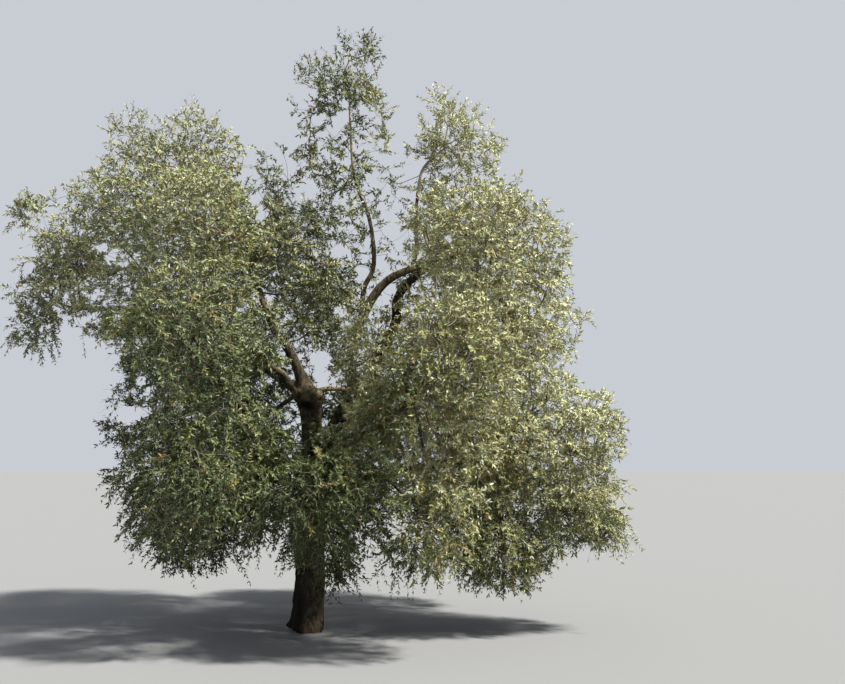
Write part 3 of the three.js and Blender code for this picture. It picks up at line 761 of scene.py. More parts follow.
# What a colour turns into in the cooler and in the warmer sprays, and from what warmth.
COOLER, COOLER_BELOW = {"deep": "cool_deep", "green": "sage", "olive": "grey_green"}, -0.12
WARMER, WARMER_ABOVE = {"green": "gold", "olive": "bronze"}, 0.48
# Parts of the crown whose leaves are painted lighter, as light that reaches them, or darker, as shade:
# middle, how far it reaches and how much.
LIGHTER = [((0.58, -0.35, 2.65), 0.50, 0.75), ((-2.25, 0.00, 3.45), 0.75, 0.50),
           ((2.40, 0.00, 2.35), 0.70, 0.40), ((1.15, -0.20, 3.80), 0.40, 0.42),
           ((-0.35, -0.25, 3.65), 0.45, 0.30), ((0.15, 0.00, 4.75), 0.50, -0.30),
           ((0.65, -0.60, 2.10), 0.50, 0.55), ((1.45, 0.00, 4.45), 0.30, -0.18),
           ((1.20, -0.40, 0.75), 0.60, -0.30)]
# The usual tone, and the painted light that it gains for each metre to the right, towards the sun, and,
# between two heights, for each metre up.
USUAL_TONE, TONE_RIGHTWARDS, TONE_UPWARDS, TONE_FROM, TONE_UP_TO = 0.57, 0.055, 0.17, 3.0, 4.8
# Where the right side, the skirts, the top of the centre and the inside begin, and how soon each is complete.
RIGHT_SIDE, SKIRTS, CENTRE_TOP, INSIDE = (0.7, 0.5), (-1.9, 1.2), (4.9, 0.3), (0.12, 0.4)
CENTRE_AT, CENTRE_WIDE, LOW_LEFT_TOP = 0.25, 0.65, 3.0
# What each of those parts adds to the tone: painted light on the sunlit right side, painted shade in the
# skirts, at the top of the centre, on the low left and deep inside, and darker leaves down the centre; and by
# how much the right side evens out the gain upwards.
ON_RIGHT, IN_SKIRTS, IN_CENTRE_TOP, DEEP_INSIDE = 0.23, -0.20, -0.32, -0.26
IN_CENTRE, ON_LOW_LEFT = -0.22, -0.15
RIGHT_EVENS = 0.5
# The way that sunlit shoots face, and the painted sunlight that facing it adds to the tone.
SUNNY, IN_SUN = unit(np.array([0.4, -0.3, 0.85])), 0.10
# Patches of tone and of warmth: how large they are and how much they change.
TONE_PATCHES, FINE_TONE_PATCHES, TONE_CHANCE = (0.5, 0.14), (0.22, 0.10), 0.06
WARMTH_PATCHES, FINE_WARMTH_PATCHES, WARMTH_CHANCE = (0.33, 0.45), (0.15, 0.25), 0.20
# Warmth comes on from the left to the right of this place, over this span each way, and goes in the skirts.
WARM_FROM, WARM_SPAN, WARM_RIGHT, WARM_SKIRTS = 0.1, 1.2, 0.22, -0.15
# The share of yellowed shoots at the outside of the crown, and how much more it is this deep in it.
YELLOWED, YELLOWED_INSIDE, YELLOWED_SPAN = 0.015, 0.06, 0.4
# The share of light leaves that are silver where their underside shows, which is seen from a little above.
SILVERED, SEEN_FROM_ABOVE = 0.62, 0.3


def lighter(places):
    total = np.zeros(len(places))
    for middle, far, much in LIGHTER:
        total += much * np.exp(-(np.linalg.norm(places - np.array(middle), axis=1) / far) ** 2)
    return total


def patches(places, size_and_change, seed):
    """Noise in patches of a size, which changes a value by so much each way."""
    size, change = size_and_change
    return change * lattice_noise(places / size, seed)


def shoot_tone(places, outward, deep):
    """How light the leaves of each shoot are: lighter high up, at the right and where shoots face the sun, as
    painted light, darker low and inside, as painted shade, with patches and chance besides.
    """
    x, _, z = places.T
    centre = np.exp(-((x - CENTRE_AT) / CENTRE_WIDE) ** 2)
    right = come_on(x, *RIGHT_SIDE)
    low_left = np.clip(np.minimum(-x, LOW_LEFT_TOP - z), 0, 1)
    rise = np.minimum(z, TONE_UP_TO) - TONE_FROM
    return (USUAL_TONE + TONE_RIGHTWARDS * x + ON_RIGHT * right + ON_LOW_LEFT * low_left
            + TONE_UPWARDS * rise * (1 - RIGHT_EVENS * right) + IN_CENTRE * centre
            + IN_SKIRTS * come_on(-z, *SKIRTS) + IN_CENTRE_TOP * come_on(z, *CENTRE_TOP) * centre
            + IN_SUN * outward @ SUNNY + DEEP_INSIDE * come_on(deep, *INSIDE) + lighter(places)
            + patches(places, TONE_PATCHES, seed=11) + patches(places, FINE_TONE_PATCHES, seed=12)
            + draw.normal(0, TONE_CHANCE, len(places)))


def shoot_warmth(places):
    """How far each shoot leans to yellow, above nothing, or to grey, below it."""
    x, _, z = places.T
    return (WARM_RIGHT * np.clip((x - WARM_FROM) / WARM_SPAN, -1, 1) + WARM_SKIRTS * come_on(-z, *SKIRTS)
            + patches(places, WARMTH_PATCHES, seed=14) + patches(places, FINE_WARMTH_PATCHES, seed=15)
            + draw.normal(0, WARMTH_CHANCE, len(places)))


shoot_deep = crown.depth(base)
kinds = list(LEAF_COLOURS)
leaf_tone = shoot_tone(base, outward, shoot_deep)[leaf_shoot] + draw.normal(0, LEAF_DIFFERS, len(leaf_shoot))
leaf_kind = np.digitize(leaf_tone, TONE_STEPS)
yellowed = draw.random(len(base)) < YELLOWED + YELLOWED_INSIDE * come_on(shoot_deep, 0, YELLOWED_SPAN)
leaf_kind[yellowed[leaf_shoot]] = kinds.index("gold")
leaf_warmth = shoot_warmth(base)[leaf_shoot]
# An underside that shows is one colour lighter, or silver on a leaf that is already light.
shows_under = np.sum(leaf_upper * unit(outward[leaf_shoot] + SEEN_FROM_ABOVE * UP), axis=1) < 0.0
paler = shows_under & (leaf_kind < kinds.index("olive"))
leaf_kind[paler] += 1
leaf_kind[shows_under & ~paler & (draw.random(len(leaf_kind)) < SILVERED)] = kinds.index("silver")
for turned, into in ((leaf_warmth < COOLER_BELOW, COOLER), (leaf_warmth > WARMER_ABOVE, WARMER)):
    was = leaf_kind.copy()
    for kind, other_kind in into.items():
        leaf_kind[turned & (was == kinds.index(kind))] = kinds.index(other_kind)


# Node trees
def wire(tree, kind, settings=None, inputs=None):
    """A node of this kind. Its settings come first, then values or other sockets for its sockets."""
    node = tree.nodes.new(kind)
    for name, value in (settings or {}).items():
        setattr(node, name, value)
    for name, value in (inputs or {}).items():
        socket = node.inputs[name]
        if isinstance(value, bpy.types.NodeSocket):
            tree.links.new(value, socket)
        else:
            socket.default_value = value
    return node


def geometry_tree(name, inputs):
    """An empty Geometry Nodes tree with these named inputs and a material, and the sockets they come from."""
    tree = bpy.data.node_groups.new(name, "GeometryNodeTree")
    tree.interface.new_socket("Geometry", in_out="INPUT", socket_type="NodeSocketGeometry")
    for socket, kind in {**inputs, "Material": "NodeSocketMaterial"}.items():
        tree.interface.new_socket(socket, in_out="INPUT", socket_type=kind)
    tree.interface.new_socket("Geometry", in_out="OUTPUT", socket_type="NodeSocketGeometry")
    return tree, tree.nodes.new("NodeGroupInput").outputs


def finish_tree(tree, geometry, material):
    """Ends a tree in real faces of this material."""
    real = wire(tree, "GeometryNodeRealizeInstances", {}, {"Geometry": geometry})
    coat = wire(tree, "GeometryNodeSetMaterial", {},
                {"Geometry": real.outputs["Geometry"], "Material": material})
    wire(tree, "NodeGroupOutput", {}, {"Geometry": coat.outputs["Geometry"]})
    return tree


def point_value(tree, name, kind):
    """What each point of the starting mesh says under this name."""
    node = wire(tree, "GeometryNodeInputNamedAttribute", {"data_type": kind}, {"Name": name})
    return node.outputs["Attribute"]


def tube_tree():
    """Turns paths of edges into round wood, as thick as their points say."""
    tree, given_in = geometry_tree("round_wood", {"Sides": "NodeSocketInt", "Closed Ends": "NodeSocketBool"})
    curve = wire(tree, "GeometryNodeMeshToCurve", {}, {"Mesh": given_in["Geometry"]})
    ring = wire(tree, "GeometryNodeCurvePrimitiveCircle", {},
                {"Resolution": given_in["Sides"], "Radius": 1.0})
    tube = wire(tree, "GeometryNodeCurveToMesh", {}, {
        "Curve": curve.outputs["Curve"], "Profile Curve": ring.outputs["Curve"],
        "Scale": point_value(tree, "thickness", "FLOAT"), "Fill Caps": given_in["Closed Ends"]})
    return finish_tree(tree, tube.outputs["Mesh"], given_in["Material"])


def leaf_tree():
    """Puts a leaf on every point: a lance-shaped blade of two faces that is folded along its middle."""
    tree, given_in = geometry_tree("leaves", {"Length": "NodeSocketFloat", "Width": "NodeSocketFloat",
                                              "Fold": "NodeSocketFloat"})

    def maths(operation, a, b):
        return wire(tree, "ShaderNodeMath", {"operation": operation}, {0: a, 1: b}).outputs[0]

    # A square of one unit lies with a corner at the stalk and the opposite corner at the tip.
    square = wire(tree, "GeometryNodeMeshGrid", {},
                  {"Size X": 1.0, "Size Y": 1.0, "Vertices X": 2, "Vertices Y": 2})
    spot = wire(tree, "ShaderNodeSeparateXYZ", {},
                {"Vector": wire(tree, "GeometryNodeInputPosition").outputs["Position"]})
    side = maths("MULTIPLY", maths("SUBTRACT", spot.outputs["X"], spot.outputs["Y"]), 0.5)
    # From nothing at both ends to a quarter at the widest place
    spread = maths("MULTIPLY", side, side)
    share = maths("MULTIPLY", maths("ADD", maths("ADD", spot.outputs["X"], spot.outputs["Y"]), 1.0), 0.5)
    share = maths("SUBTRACT", share, maths("MULTIPLY", spread, LEAF_BELLY_BACK))
    there = wire(tree, "ShaderNodeCombineXYZ", {}, {
        "X": maths("MULTIPLY", side, given_in["Width"]), "Y": maths("MULTIPLY", share, given_in["Length"]),
        "Z": maths("MULTIPLY", maths("MULTIPLY", spread, 4.0), given_in["Fold"])})
    blade = wire(tree, "GeometryNodeSetPosition", {},
                 {"Geometry": square.outputs["Mesh"], "Position": there.outputs["Vector"]})
    halves = wire(tree, "GeometryNodeTriangulate", {"quad_method": "LONGEST_DIAGONAL"},
                  {"Mesh": blade.outputs["Geometry"]})
    facing = wire(tree, "FunctionNodeAxesToRotation", {"primary_axis": "Y", "secondary_axis": "Z"},
                  {"Primary Axis": point_value(tree, "along", "FLOAT_VECTOR"),
                   "Secondary Axis": point_value(tree, "upper", "FLOAT_VECTOR")})
    many = wire(tree, "GeometryNodeInstanceOnPoints", {}, {
        "Points": given_in["Geometry"], "Instance": halves.outputs["Mesh"],
        "Rotation": facing.outputs["Rotation"], "Scale": point_value(tree, "size", "FLOAT")})
    return finish_tree(tree, many.outputs["Instances"], given_in["Material"])


def plain_mesh(name, tree, values, start):
    """A piece with the plain mesh that a Geometry Nodes tree makes of a starting mesh."""
    scratch = bpy.data.objects.new(name + "_start", start)
    bpy.context.collection.objects.link(scratch)
    modifier = scratch.modifiers.new("grow", "NODES")
    modifier.node_group = tree
    for item in tree.interface.items_tree:
        if item.in_out == "INPUT" and item.name in values:
            modifier[item.identifier] = values[item.name]
    graph = bpy.context.evaluated_depsgraph_get()
    mesh = bpy.data.meshes.new_from_object(scratch.evaluated_get(graph))
    scratch.modifiers.remove(modifier)
    bpy.data.objects.remove(scratch)
    for attribute in [a.name for a in mesh.attributes if a.name in ("thickness", "along", "upper", "size")]:
        mesh.attributes.remove(mesh.attributes[attribute])
    mesh.name = name
    coat = next(material for material in mesh.materials if material)
    mesh.materials.clear()
    mesh.materials.append(coat)
    mesh.polygons.foreach_set("material_index", np.zeros(len(mesh.polygons), np.int32))
    return bpy.data.objects.new(name, mesh)


def own(piece, slot, *nodes):
    """Shows a finished piece, which rides on the root and stands for these solids."""
    bpy.context.collection.objects.link(piece)
    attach(piece, "root")
    if nodes:
        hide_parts(*nodes)


# Materials
class Number:
    """A value that changes over a surface, so that sums of it are written as sums."""

    def __init__(self, tree, socket):
        self.tree, self.socket = tree, socket

    def _with(self, operation, *values):
        inputs = {i: (v.socket if isinstance(v, Number) else v) for i, v in enumerate(values)}
        node = wire(self.tree, "ShaderNodeMath", {"operation": operation}, inputs)
        return Number(self.tree, node.outputs[0])

    def __abs__(self):
        return self._with("ABSOLUTE", self)

    def __add__(self, other):
        return self._with("ADD", self, other)

    def __sub__(self, other):
        return self._with("SUBTRACT", self, other)

    def __rsub__(self, other):
        return self._with("SUBTRACT", other, self)

    def __mul__(self, other):
        return self._with("MULTIPLY", self, other)

    __radd__ = __add__
    __rmul__ = __mul__


class Finish:
    """A material with one shader, built up from patterns on Object coordinates."""

    def __init__(self, name, colour, roughness, specular):
        self.material = bpy.data.materials.new(name)
        self.material.use_nodes = True
        self.tree = self.material.node_tree
        self.shader = self.tree.nodes["Principled BSDF"]
        self.shader.inputs["Base Color"].default_value = (*colour, 1)
        self.shader.inputs["Roughness"].default_value = roughness
        self.shader.inputs["Specular IOR Level"].default_value = specular

    def node(self, kind, settings=None, inputs=None):
        inputs = {k: (v.socket if isinstance(v, Number) else v) for k, v in (inputs or {}).items()}
        return wire(self.tree, kind, settings, inputs)

    def number(self, kind, settings=None, inputs=None, output=0):
        return Number(self.tree, self.node(kind, settings, inputs).outputs[output])

    def place(self):
        return self.node("ShaderNodeTexCoord").outputs["Object"]

    def coordinate(self, vector, axis):
        return self.number("ShaderNodeSeparateXYZ", {}, {"Vector": vector}, output=axis)

    def noise(self, place, scale, detail, roughness=0.5):
        return self.number("ShaderNodeTexNoise", {},
                           {"Vector": place, "Scale": scale, "Detail": detail, "Roughness": roughness})

    def moved(self, vector, scale, shift):
        """A vector times a scale, plus a shift."""
        inputs = {0: vector, 1: scale, 2: shift}
        return self.node("ShaderNodeVectorMath", {"operation": "MULTIPLY_ADD"}, inputs).outputs[0]

    def mixed(self, share, first, second):
        node = self.node("ShaderNodeMix", {"data_type": "RGBA"}, {"Factor": share})
        for socket, value in ((node.inputs[6], first), (node.inputs[7], second)):
            if isinstance(value, bpy.types.NodeSocket):
                self.tree.links.new(value, socket)
            else:
                socket.default_value = (*value, 1)
        return node.outputs[2]

    def rising(self, value, low, high):
        """How far a value has come from low to high, eased from 0 to 1."""
        return self.number("ShaderNodeMapRange", {"interpolation_type": "SMOOTHSTEP"},
                           {"Value": value, "From Min": low, "From Max": high})

    def feed(self, socket, value):
        self.tree.links.new(value.socket if isinstance(value, Number) else value, self.shader.inputs[socket])

    def bump(self, height, strength, distance):
        node = self.node("ShaderNodeBump", {}, {"Strength": strength, "Distance": distance, "Height": height})
        self.feed("Normal", node.outputs["Normal"])


# The old bark. Each pair of colours runs from its darker patches to its lighter ones.
BARK = (0.06, 0.05, 0.038)
LOW_BARK = (0.032, 0.027, 0.018), (0.080, 0.062, 0.038)
HIGH_BARK = (0.034, 0.027, 0.016), (0.125, 0.096, 0.054)
# Painted light: the sky-facing tops of the high wood, lighter as if sunlit, and the sunlit wood at the fork.
PAINTED_TOP_LIGHT, FORK_SUNLIGHT_PAINT = (0.24, 0.20, 0.125), (0.36, 0.28, 0.165)
# Painted shade: near black in the furrows and fissures, on the low trunk's side away from the sun, and inside
# the hollow under the fork.
IN_FISSURES, IN_FURROWS = (0.012, 0.010, 0.007), (0.008, 0.007, 0.005)
SHADED_SIDE_PAINT, IN_HOLLOW = (0.010, 0.0085, 0.006), (0.003, 0.0025, 0.002)
# The bark turns from low to high between these heights.
LOW_UP_TO, HIGH_FROM = 1.3, 2.5
# Furrows and fissures run up the wood: how much shorter than long they are, and how far they sway.
BARK_STRETCH, BARK_SWAY = 0.17, 0.16
# The painted sunlight on the wood at the fork fills a ball of this radius, once places are scaled and shifted
# so.
FORK_SUNLIGHT_RADIUS, FORK_SUNLIGHT_SCALE, FORK_SUNLIGHT_SHIFT = 0.27, (0.5, 0.5, 1.3), (-0.125, 0.0, -3.07)
# The hollow under the fork, which is pushed in and painted near black as the shade inside it.
HOLLOW_AT, HOLLOW_WIDE, HOLLOW_DEEP = np.array([-0.005, -0.125, 2.17]), 0.05, 0.07
BARK_RELIEF = 0.010


def bark_finish():
    finish = Finish("old_bark", BARK, roughness=0.92, specular=0.2)
    spot = finish.place()
    sway = finish.node("ShaderNodeTexNoise", {}, {"Vector": spot, "Scale": 5.0, "Detail": 2.0})
    bent = finish.moved(sway.outputs["Color"], (BARK_SWAY,) * 3, spot)
    upright = finish.node("ShaderNodeMapping", {}, {"Vector": bent, "Scale": (1.0, 1.0, BARK_STRETCH)})
    upright = upright.outputs["Vector"]
    patch = finish.noise(spot, scale=4.5, detail=5.0, roughness=0.6)
    furrow = finish.rising(abs(finish.noise(upright, scale=24.0, detail=1.5) - 0.5), 0.0, 0.05)
    fissure = finish.rising(abs(finish.noise(upright, scale=62.0, detail=2.0) - 0.5), 0.0, 0.045)
    grain = finish.noise(spot, scale=220.0, detail=3.0)
    across, height = finish.coordinate(spot, "X"), finish.coordinate(spot, "Z")
    skyward = finish.coordinate(finish.node("ShaderNodeNewGeometry").outputs["Normal"], "Z")

    high = finish.rising(height, LOW_UP_TO, HIGH_FROM)
    body = finish.mixed(high, finish.mixed(finish.rising(patch, 0.42, 0.62), *LOW_BARK),
                        finish.mixed(finish.rising(patch, 0.40, 0.60), *HIGH_BARK))
    # Painted light: in the high wood, tops that face the sky, and some patches, turn lighter as sunlight on
    # them.
    body = finish.mixed(finish.rising(skyward * 0.5 + patch, 0.55, 1.0) * high * 0.6, body, PAINTED_TOP_LIGHT)
    # Painted sunlight: the wood round the cross limb at the fork turns pale in a ball.
    from_fork_sunlight = finish.moved(spot, FORK_SUNLIGHT_SCALE, FORK_SUNLIGHT_SHIFT)
    off_fork_sunlight = finish.number("ShaderNodeVectorMath", {"operation": "LENGTH"}, {0: from_fork_sunlight}, output="Value")
    body = finish.mixed(finish.rising(FORK_SUNLIGHT_RADIUS - off_fork_sunlight - patch * 0.2, 0.02, 0.12), body, FORK_SUNLIGHT_PAINT)
    # Painted shade in the fissures and furrows of the bark.
    body = finish.mixed(fissure * 0.5 + 0.5, IN_FISSURES, body)
    body = finish.mixed(furrow * 0.85 + 0.15, IN_FURROWS, body)
    # Painted shade: the low trunk is near black on its left side, away from the sun, and lit on its right.
    lit_side = finish.rising(across + patch * 0.08 + height * 0.02, -0.02, 0.06)
    body = finish.mixed(high + lit_side - high * lit_side, SHADED_SIDE_PAINT, body)
    # Painted shade inside the hollow under the fork.
    off_hollow = finish.number("ShaderNodeVectorMath", {"operation": "DISTANCE"},
                               {0: spot, 1: tuple(HOLLOW_AT)}, output="Value")
    body = finish.mixed(finish.rising(off_hollow + patch * 0.02, 0.045, 0.085), IN_HOLLOW, body)
    finish.feed("Base Color", body)
    finish.feed("Roughness", 0.98 - grain * 0.15)
    finish.bump(furrow * 0.6 + fissure * 0.25 + grain * 0.10, strength=0.9, distance=BARK_RELIEF)
    return finish.material


# The smoother bark of the branches, from its dark patches to the pale ones, which are most in the high crown
# as painted sunlight on the upper branches.
BRANCH_BARK, BRANCH_DARK, BRANCH_PALE = (0.15, 0.125, 0.09), (0.045, 0.037, 0.026), (0.30, 0.25, 0.175)
BRANCH_SPECKS, BRANCH_RELIEF = (0.06, 0.05, 0.035), 0.003
TWIG_BARK, SHOOT_SKIN = (0.16, 0.145, 0.095), (0.22, 0.23, 0.13)


def branch_finish():
    finish = Finish("branch_bark", BRANCH_BARK, roughness=0.85, specular=0.3)
    spot = finish.place()
    patch = finish.noise(spot, scale=5.0, detail=4.0)
    fine = finish.noise(spot, scale=120.0, detail=4.0)
    high = finish.rising(finish.coordinate(spot, "Z"), 2.0, 4.5)
    # More pale patches higher up: painted sunlight on the upper branches.
    body = finish.mixed(finish.rising(patch + high * 0.25, 0.45, 0.80), BRANCH_DARK, BRANCH_PALE)
    finish.feed("Base Color", finish.mixed(fine * 0.4, body, BRANCH_SPECKS))
    finish.feed("Roughness", 0.95 - fine * 0.2)
    finish.bump(fine, strength=0.5, distance=BRANCH_RELIEF)
    return finish.material


# Branches and twigs. Wood is as thick as the number of shoots that it carries asks for.
TWIG_RADIUS = 0.0013
BRANCHING_POWER = 2.35
BRANCH_LEAST = 0.0045
# The grown limbs are a little thinner than the solids, and wood thicker than this is left to the bark's mesh.
LIMB_SHARE, LIMB_LEAST, UNDER_BARK = 0.93, 0.004, 0.030
# How much thicker wood may be where it leaves a limb, and where it leaves other wood.
LIMB_COLLAR, WOOD_COLLAR = 1.5, 1.25
BRANCH_SIDES, TWIG_SIDES = 7, 3

load = np.zeros(len(place))
np.add.at(load, base_point, 1)
for point in range(len(place) - 1, 0, -1):
    if parent[point] >= 0:
        load[parent[point]] += load[point]
radius = TWIG_RADIUS * np.maximum(load, 1) ** (1 / BRANCHING_POWER)
radius = np.where(given > 0, np.maximum(given * LIMB_SHARE, LIMB_LEAST), radius)
children = {}
for point in range(len(place)):
    if load[point] > 0 or given[point] > 0:
        children.setdefault(parent[point], []).append(point)


def wood_chains():
    """Runs of wood, each from where it leaves its parent to its end, thickest child first."""
    chains = []
    starts = [(-1, root) for root in children[-1]]
    while starts:
        behind, point = starts.pop()
        chain = [] if behind < 0 else [behind]
        while True:
            chain.append(point)
            after = sorted(children.get(point, []), key=lambda c: (given[c] > 0, radius[c]), reverse=True)
            if not after:
                break
            starts.extend((point, c) for c in after[1:])
            point = after[0]
        chains.append(np.array(chain))
    return chains


def wood_runs():
    """The wood that shows, as thick runs and thin ones, each with its places and thicknesses."""
    thick_runs, thin_runs = [], []
    for chain in wood_chains():
        inside = np.nonzero(given[chain] > UNDER_BARK)[0]
        if len(inside):
            chain = chain[inside[-1]:]
        spots, thick = place[chain], radius[chain].copy()
        if len(chain) > 1 and given[chain[0]] > 0 and given[chain[1]] == 0:
            thick[0] = thick[1] * LIMB_COLLAR
        elif len(chain) > 1:
            thick[0] = min(thick[0], thick[1] * WOOD_COLLAR)
        thin = np.nonzero((thick < BRANCH_LEAST) & (given[chain] == 0))[0]
        change = thin[0] if len(thin) else len(chain)
        if change > 1:
            thick_runs.append((spots[:change + 1], thick[:change + 1]))
        if change < len(chain) - 1:
            start = change if change > 1 else 0
            thin_runs.append((spots[start:], thick[start:]))
    return thick_runs, thin_runs


def path_mesh(name, runs):
    """A mesh of edges for runs of places and thicknesses."""
    mesh = bpy.data.meshes.new(name)
    spots = np.concatenate([run[0] for run in runs])
    thick = np.concatenate([run[1] for run in runs])
    ends = np.cumsum([len(run[0]) for run in runs])
    joined = np.ones(len(spots), bool)
    joined[ends - 1] = False
    one = np.nonzero(joined)[0]
    mesh.vertices.add(len(spots))
    mesh.vertices.foreach_set("co", spots.ravel())
    mesh.edges.add(len(one))
    mesh.edges.foreach_set("vertices", np.stack([one, one + 1], axis=1).astype(np.int32).ravel())
    mesh.attributes.new("thickness", "FLOAT", "POINT").data.foreach_set("value", thick.astype(np.float32))
    return mesh


round_wood = tube_tree()


def round_piece(name, runs, sides, closed, material):
    """A piece of round wood along runs of places and thicknesses."""
    values = {"Sides": sides, "Closed Ends": closed, "Material": material}
    return plain_mesh(name, round_wood, values, path_mesh(name + "_paths", runs))


thick_runs, thin_runs = wood_runs()
twig_bark = Finish("twig_bark", TWIG_BARK, roughness=0.8, specular=0.3).material
own(round_piece("branches", thick_runs, BRANCH_SIDES, True, branch_finish()), "bark")
own(round_piece("twigs", thin_runs, TWIG_SIDES, False, twig_bark), "bark")

# The shoots that carry the leaves, in two pieces
SHOOT_PIECES = 2
SHOOT_TIP = 0.45
shoot_skin = Finish("shoot_skin", SHOOT_SKIN, roughness=0.65, specular=0.4).material
stops, _ = on_shoot(np.broadcast_to(np.linspace(0, 1, SHOOT_STEPS + 1), (len(base), SHOOT_STEPS + 1)))
taper = TWIG_RADIUS * np.linspace(1.0, SHOOT_TIP, SHOOT_STEPS + 1)
for part in range(SHOOT_PIECES):
    runs = [(line, taper) for line in stops[part::SHOOT_PIECES]]
    own(round_piece(f"shoots_{part + 1}", runs, TWIG_SIDES, False, shoot_skin), "foliage")

# Leaves, each colour in as many pieces as its count asks for. The first green piece stands for the masses.
MOST_LEAVES = 98000
LEAF_ROUGHNESS, SILVER_ROUGHNESS, LEAF_SPECULAR = 0.52, 0.65, 0.32
leaves_on = leaf_tree()
for kind, colour in LEAF_COLOURS.items():
    chosen = np.nonzero(leaf_kind == kinds.index(kind))[0]
    roughness = SILVER_ROUGHNESS if kind == "silver" else LEAF_ROUGHNESS
    skin = Finish("leaf_" + kind, colour, roughness, LEAF_SPECULAR).material
    parts = math.ceil(len(chosen) / MOST_LEAVES)
    for part in range(parts):
        some = chosen[part::parts]
        name = f"leaves_{kind}" + (f"_{part + 1}" if parts > 1 else "")
        points = bpy.data.meshes.new(name)
        points.vertices.add(len(some))
        points.vertices.foreach_set("co", leaf_at[some].ravel())
        for label, values in (("along", leaf_along), ("upper", leaf_upper)):
            attribute = points.attributes.new(label, "FLOAT_VECTOR", "POINT")
            attribute.data.foreach_set("vector", values[some].ravel())
        points.attributes.new("size", "FLOAT", "POINT").data.foreach_set("value", leaf_size[some])
        piece = plain_mesh(name, leaves_on, {"Length": LEAF_LONG, "Width": LEAF_WIDE, "Fold": LEAF_FOLD,
                                             "Material": skin}, points)
        own(piece, "foliage")
        if kind == "green" and part == 0:
            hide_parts(*[n for n in frame["nodes"] if n.startswith(FOLIAGE)])


# The trunk and boughs under their bark
TRUNK_SIDES, LIMB_SIDES = 40, 20
LEAST_LIMB = 0.016
# Swellings where limbs leave the trunk: middle and radius, each made as a ball of so many rings.
BURLS = [((0.02, -0.03, 2.22), 0.125), ((-0.06, -0.02, 2.30), 0.10), ((0.09, -0.04, 2.27), 0.085),
         ((0.10, 0.02, 1.62), 0.13), ((0.03, 0.05, 2.12), 0.12), ((0.45, 0.05, 2.30), 0.088)]
BURL_RINGS, BURL_END, BURL_LEAST = 14, 0.05, 0.004
# The root flare: how soon it dies out upwards, its lobes, how deep they are and how far round they begin.
FLARE_HEIGHT, FLARE_LOBES, FLARE_DEEP, FLARE_TURN = 0.17, 5, 0.12, 0.6
# The flutes of the trunk: how deep they are, how many stand round it and their twist for each metre up.
FLUTES = [(0.04, 3, 1.5), (0.025, 7, -2)]
# The furrow up the front: the angle that it keeps to, how far it strays, its width and depth, and its top.
FURROW_AT, FURROW_STRAYS, FURROW_WIDE, FURROW_DEEP, FURROW_TOP = 1.36, 0.05, 0.17, 0.24, 1.3
FURROW_WAVES = 4
# A direction that no limb starts along.
ALONG_NO_LIMB = [0.3, 1.0, 0.1]
# The one mesh that the parts melt into: the size of its cells and how it is smoothed.
VOXEL, SMOOTHING, SMOOTHING_ROUNDS = 0.011, 0.5, 5
# Ridges and lumps on it: how high they are, how many to the metre in two sizes, and how drawn out ridges are.
RIDGE_HIGH, RIDGES, FINE_RIDGES, RIDGE_STRETCH = 0.0042, 26, 55, 0.22
LUMP_HIGH, LUMPS, FINE_LUMPS = 0.0075, 9, 20
# The relief is full at the foot and fades upwards, down to a least share of it.
RELIEF_AT_FOOT, RELIEF_FADES, RELIEF_LEAST = 1.15, 0.25, 0.35
# The lip round the hollow: how far from its middle, how wide and how high.
LIP_AT, LIP_WIDE, LIP_HIGH = 0.075, 0.02, 0.008
# Whatever lies lower than this is pressed flat on the ground.
FLAT_BELOW = 0.012


def ring_tube(line, sides, shape=None):
    """Corners and faces of a closed round tube along a line of places and radii."""
    spots, radii = line[:, :3], line[:, 3]
    ahead = unit(np.gradient(spots, axis=0))
    across = unit(np.cross(ahead[0], ALONG_NO_LIMB))
    angle = np.arange(sides) * 2 * math.pi / sides
    corners = []
    for spot, way, thick in zip(spots, ahead, radii):
        across = unit(across - way * np.dot(across, way))
        round_it = np.cos(angle)[:, None] * across + np.sin(angle)[:, None] * np.cross(way, across)
        reach = thick * (shape(angle, spot) if shape else 1.0) * np.ones(sides)
        corners.append(spot + reach[:, None] * round_it)
    corners = np.concatenate(corners)
    faces = []
    for ring in range(len(spots) - 1):
        for k in range(sides):
            one, two = ring * sides + k, ring * sides + (k + 1) % sides
            faces.append((one, two, two + sides, one + sides))
    faces.append(tuple(range(sides))[::-1])
    faces.append(tuple(range(len(corners) - sides, len(corners))))
    return corners, faces


def foot_shape(angle, spot):
    """The lobes of the root flare, the flutes of the trunk and the deep furrow up the front of it."""
    height = spot[2]
    lobes = 1 + FLARE_DEEP * math.exp(-height / FLARE_HEIGHT) * np.sin(FLARE_LOBES * angle + FLARE_TURN)
    off_furrow = (angle - FURROW_AT - FURROW_STRAYS * math.sin(FURROW_WAVES * height)) / FURROW_WIDE
    furrow = FURROW_DEEP * np.exp(-off_furrow ** 2) * (height < FURROW_TOP)
    flutes = sum(deep * np.sin(count * angle + twist * height) for deep, count, twist in FLUTES)
    return lobes * (1 + flutes - furrow)


def burl_line(middle, thick):
    """The places and radii of a ball's rings, from its bottom up."""
    x, y, z = middle
    return np.array([[x, y, z + thick * math.cos(a), max(BURL_LEAST, thick * math.sin(a))]
                     for a in np.linspace(math.pi - BURL_END, BURL_END, BURL_RINGS)])


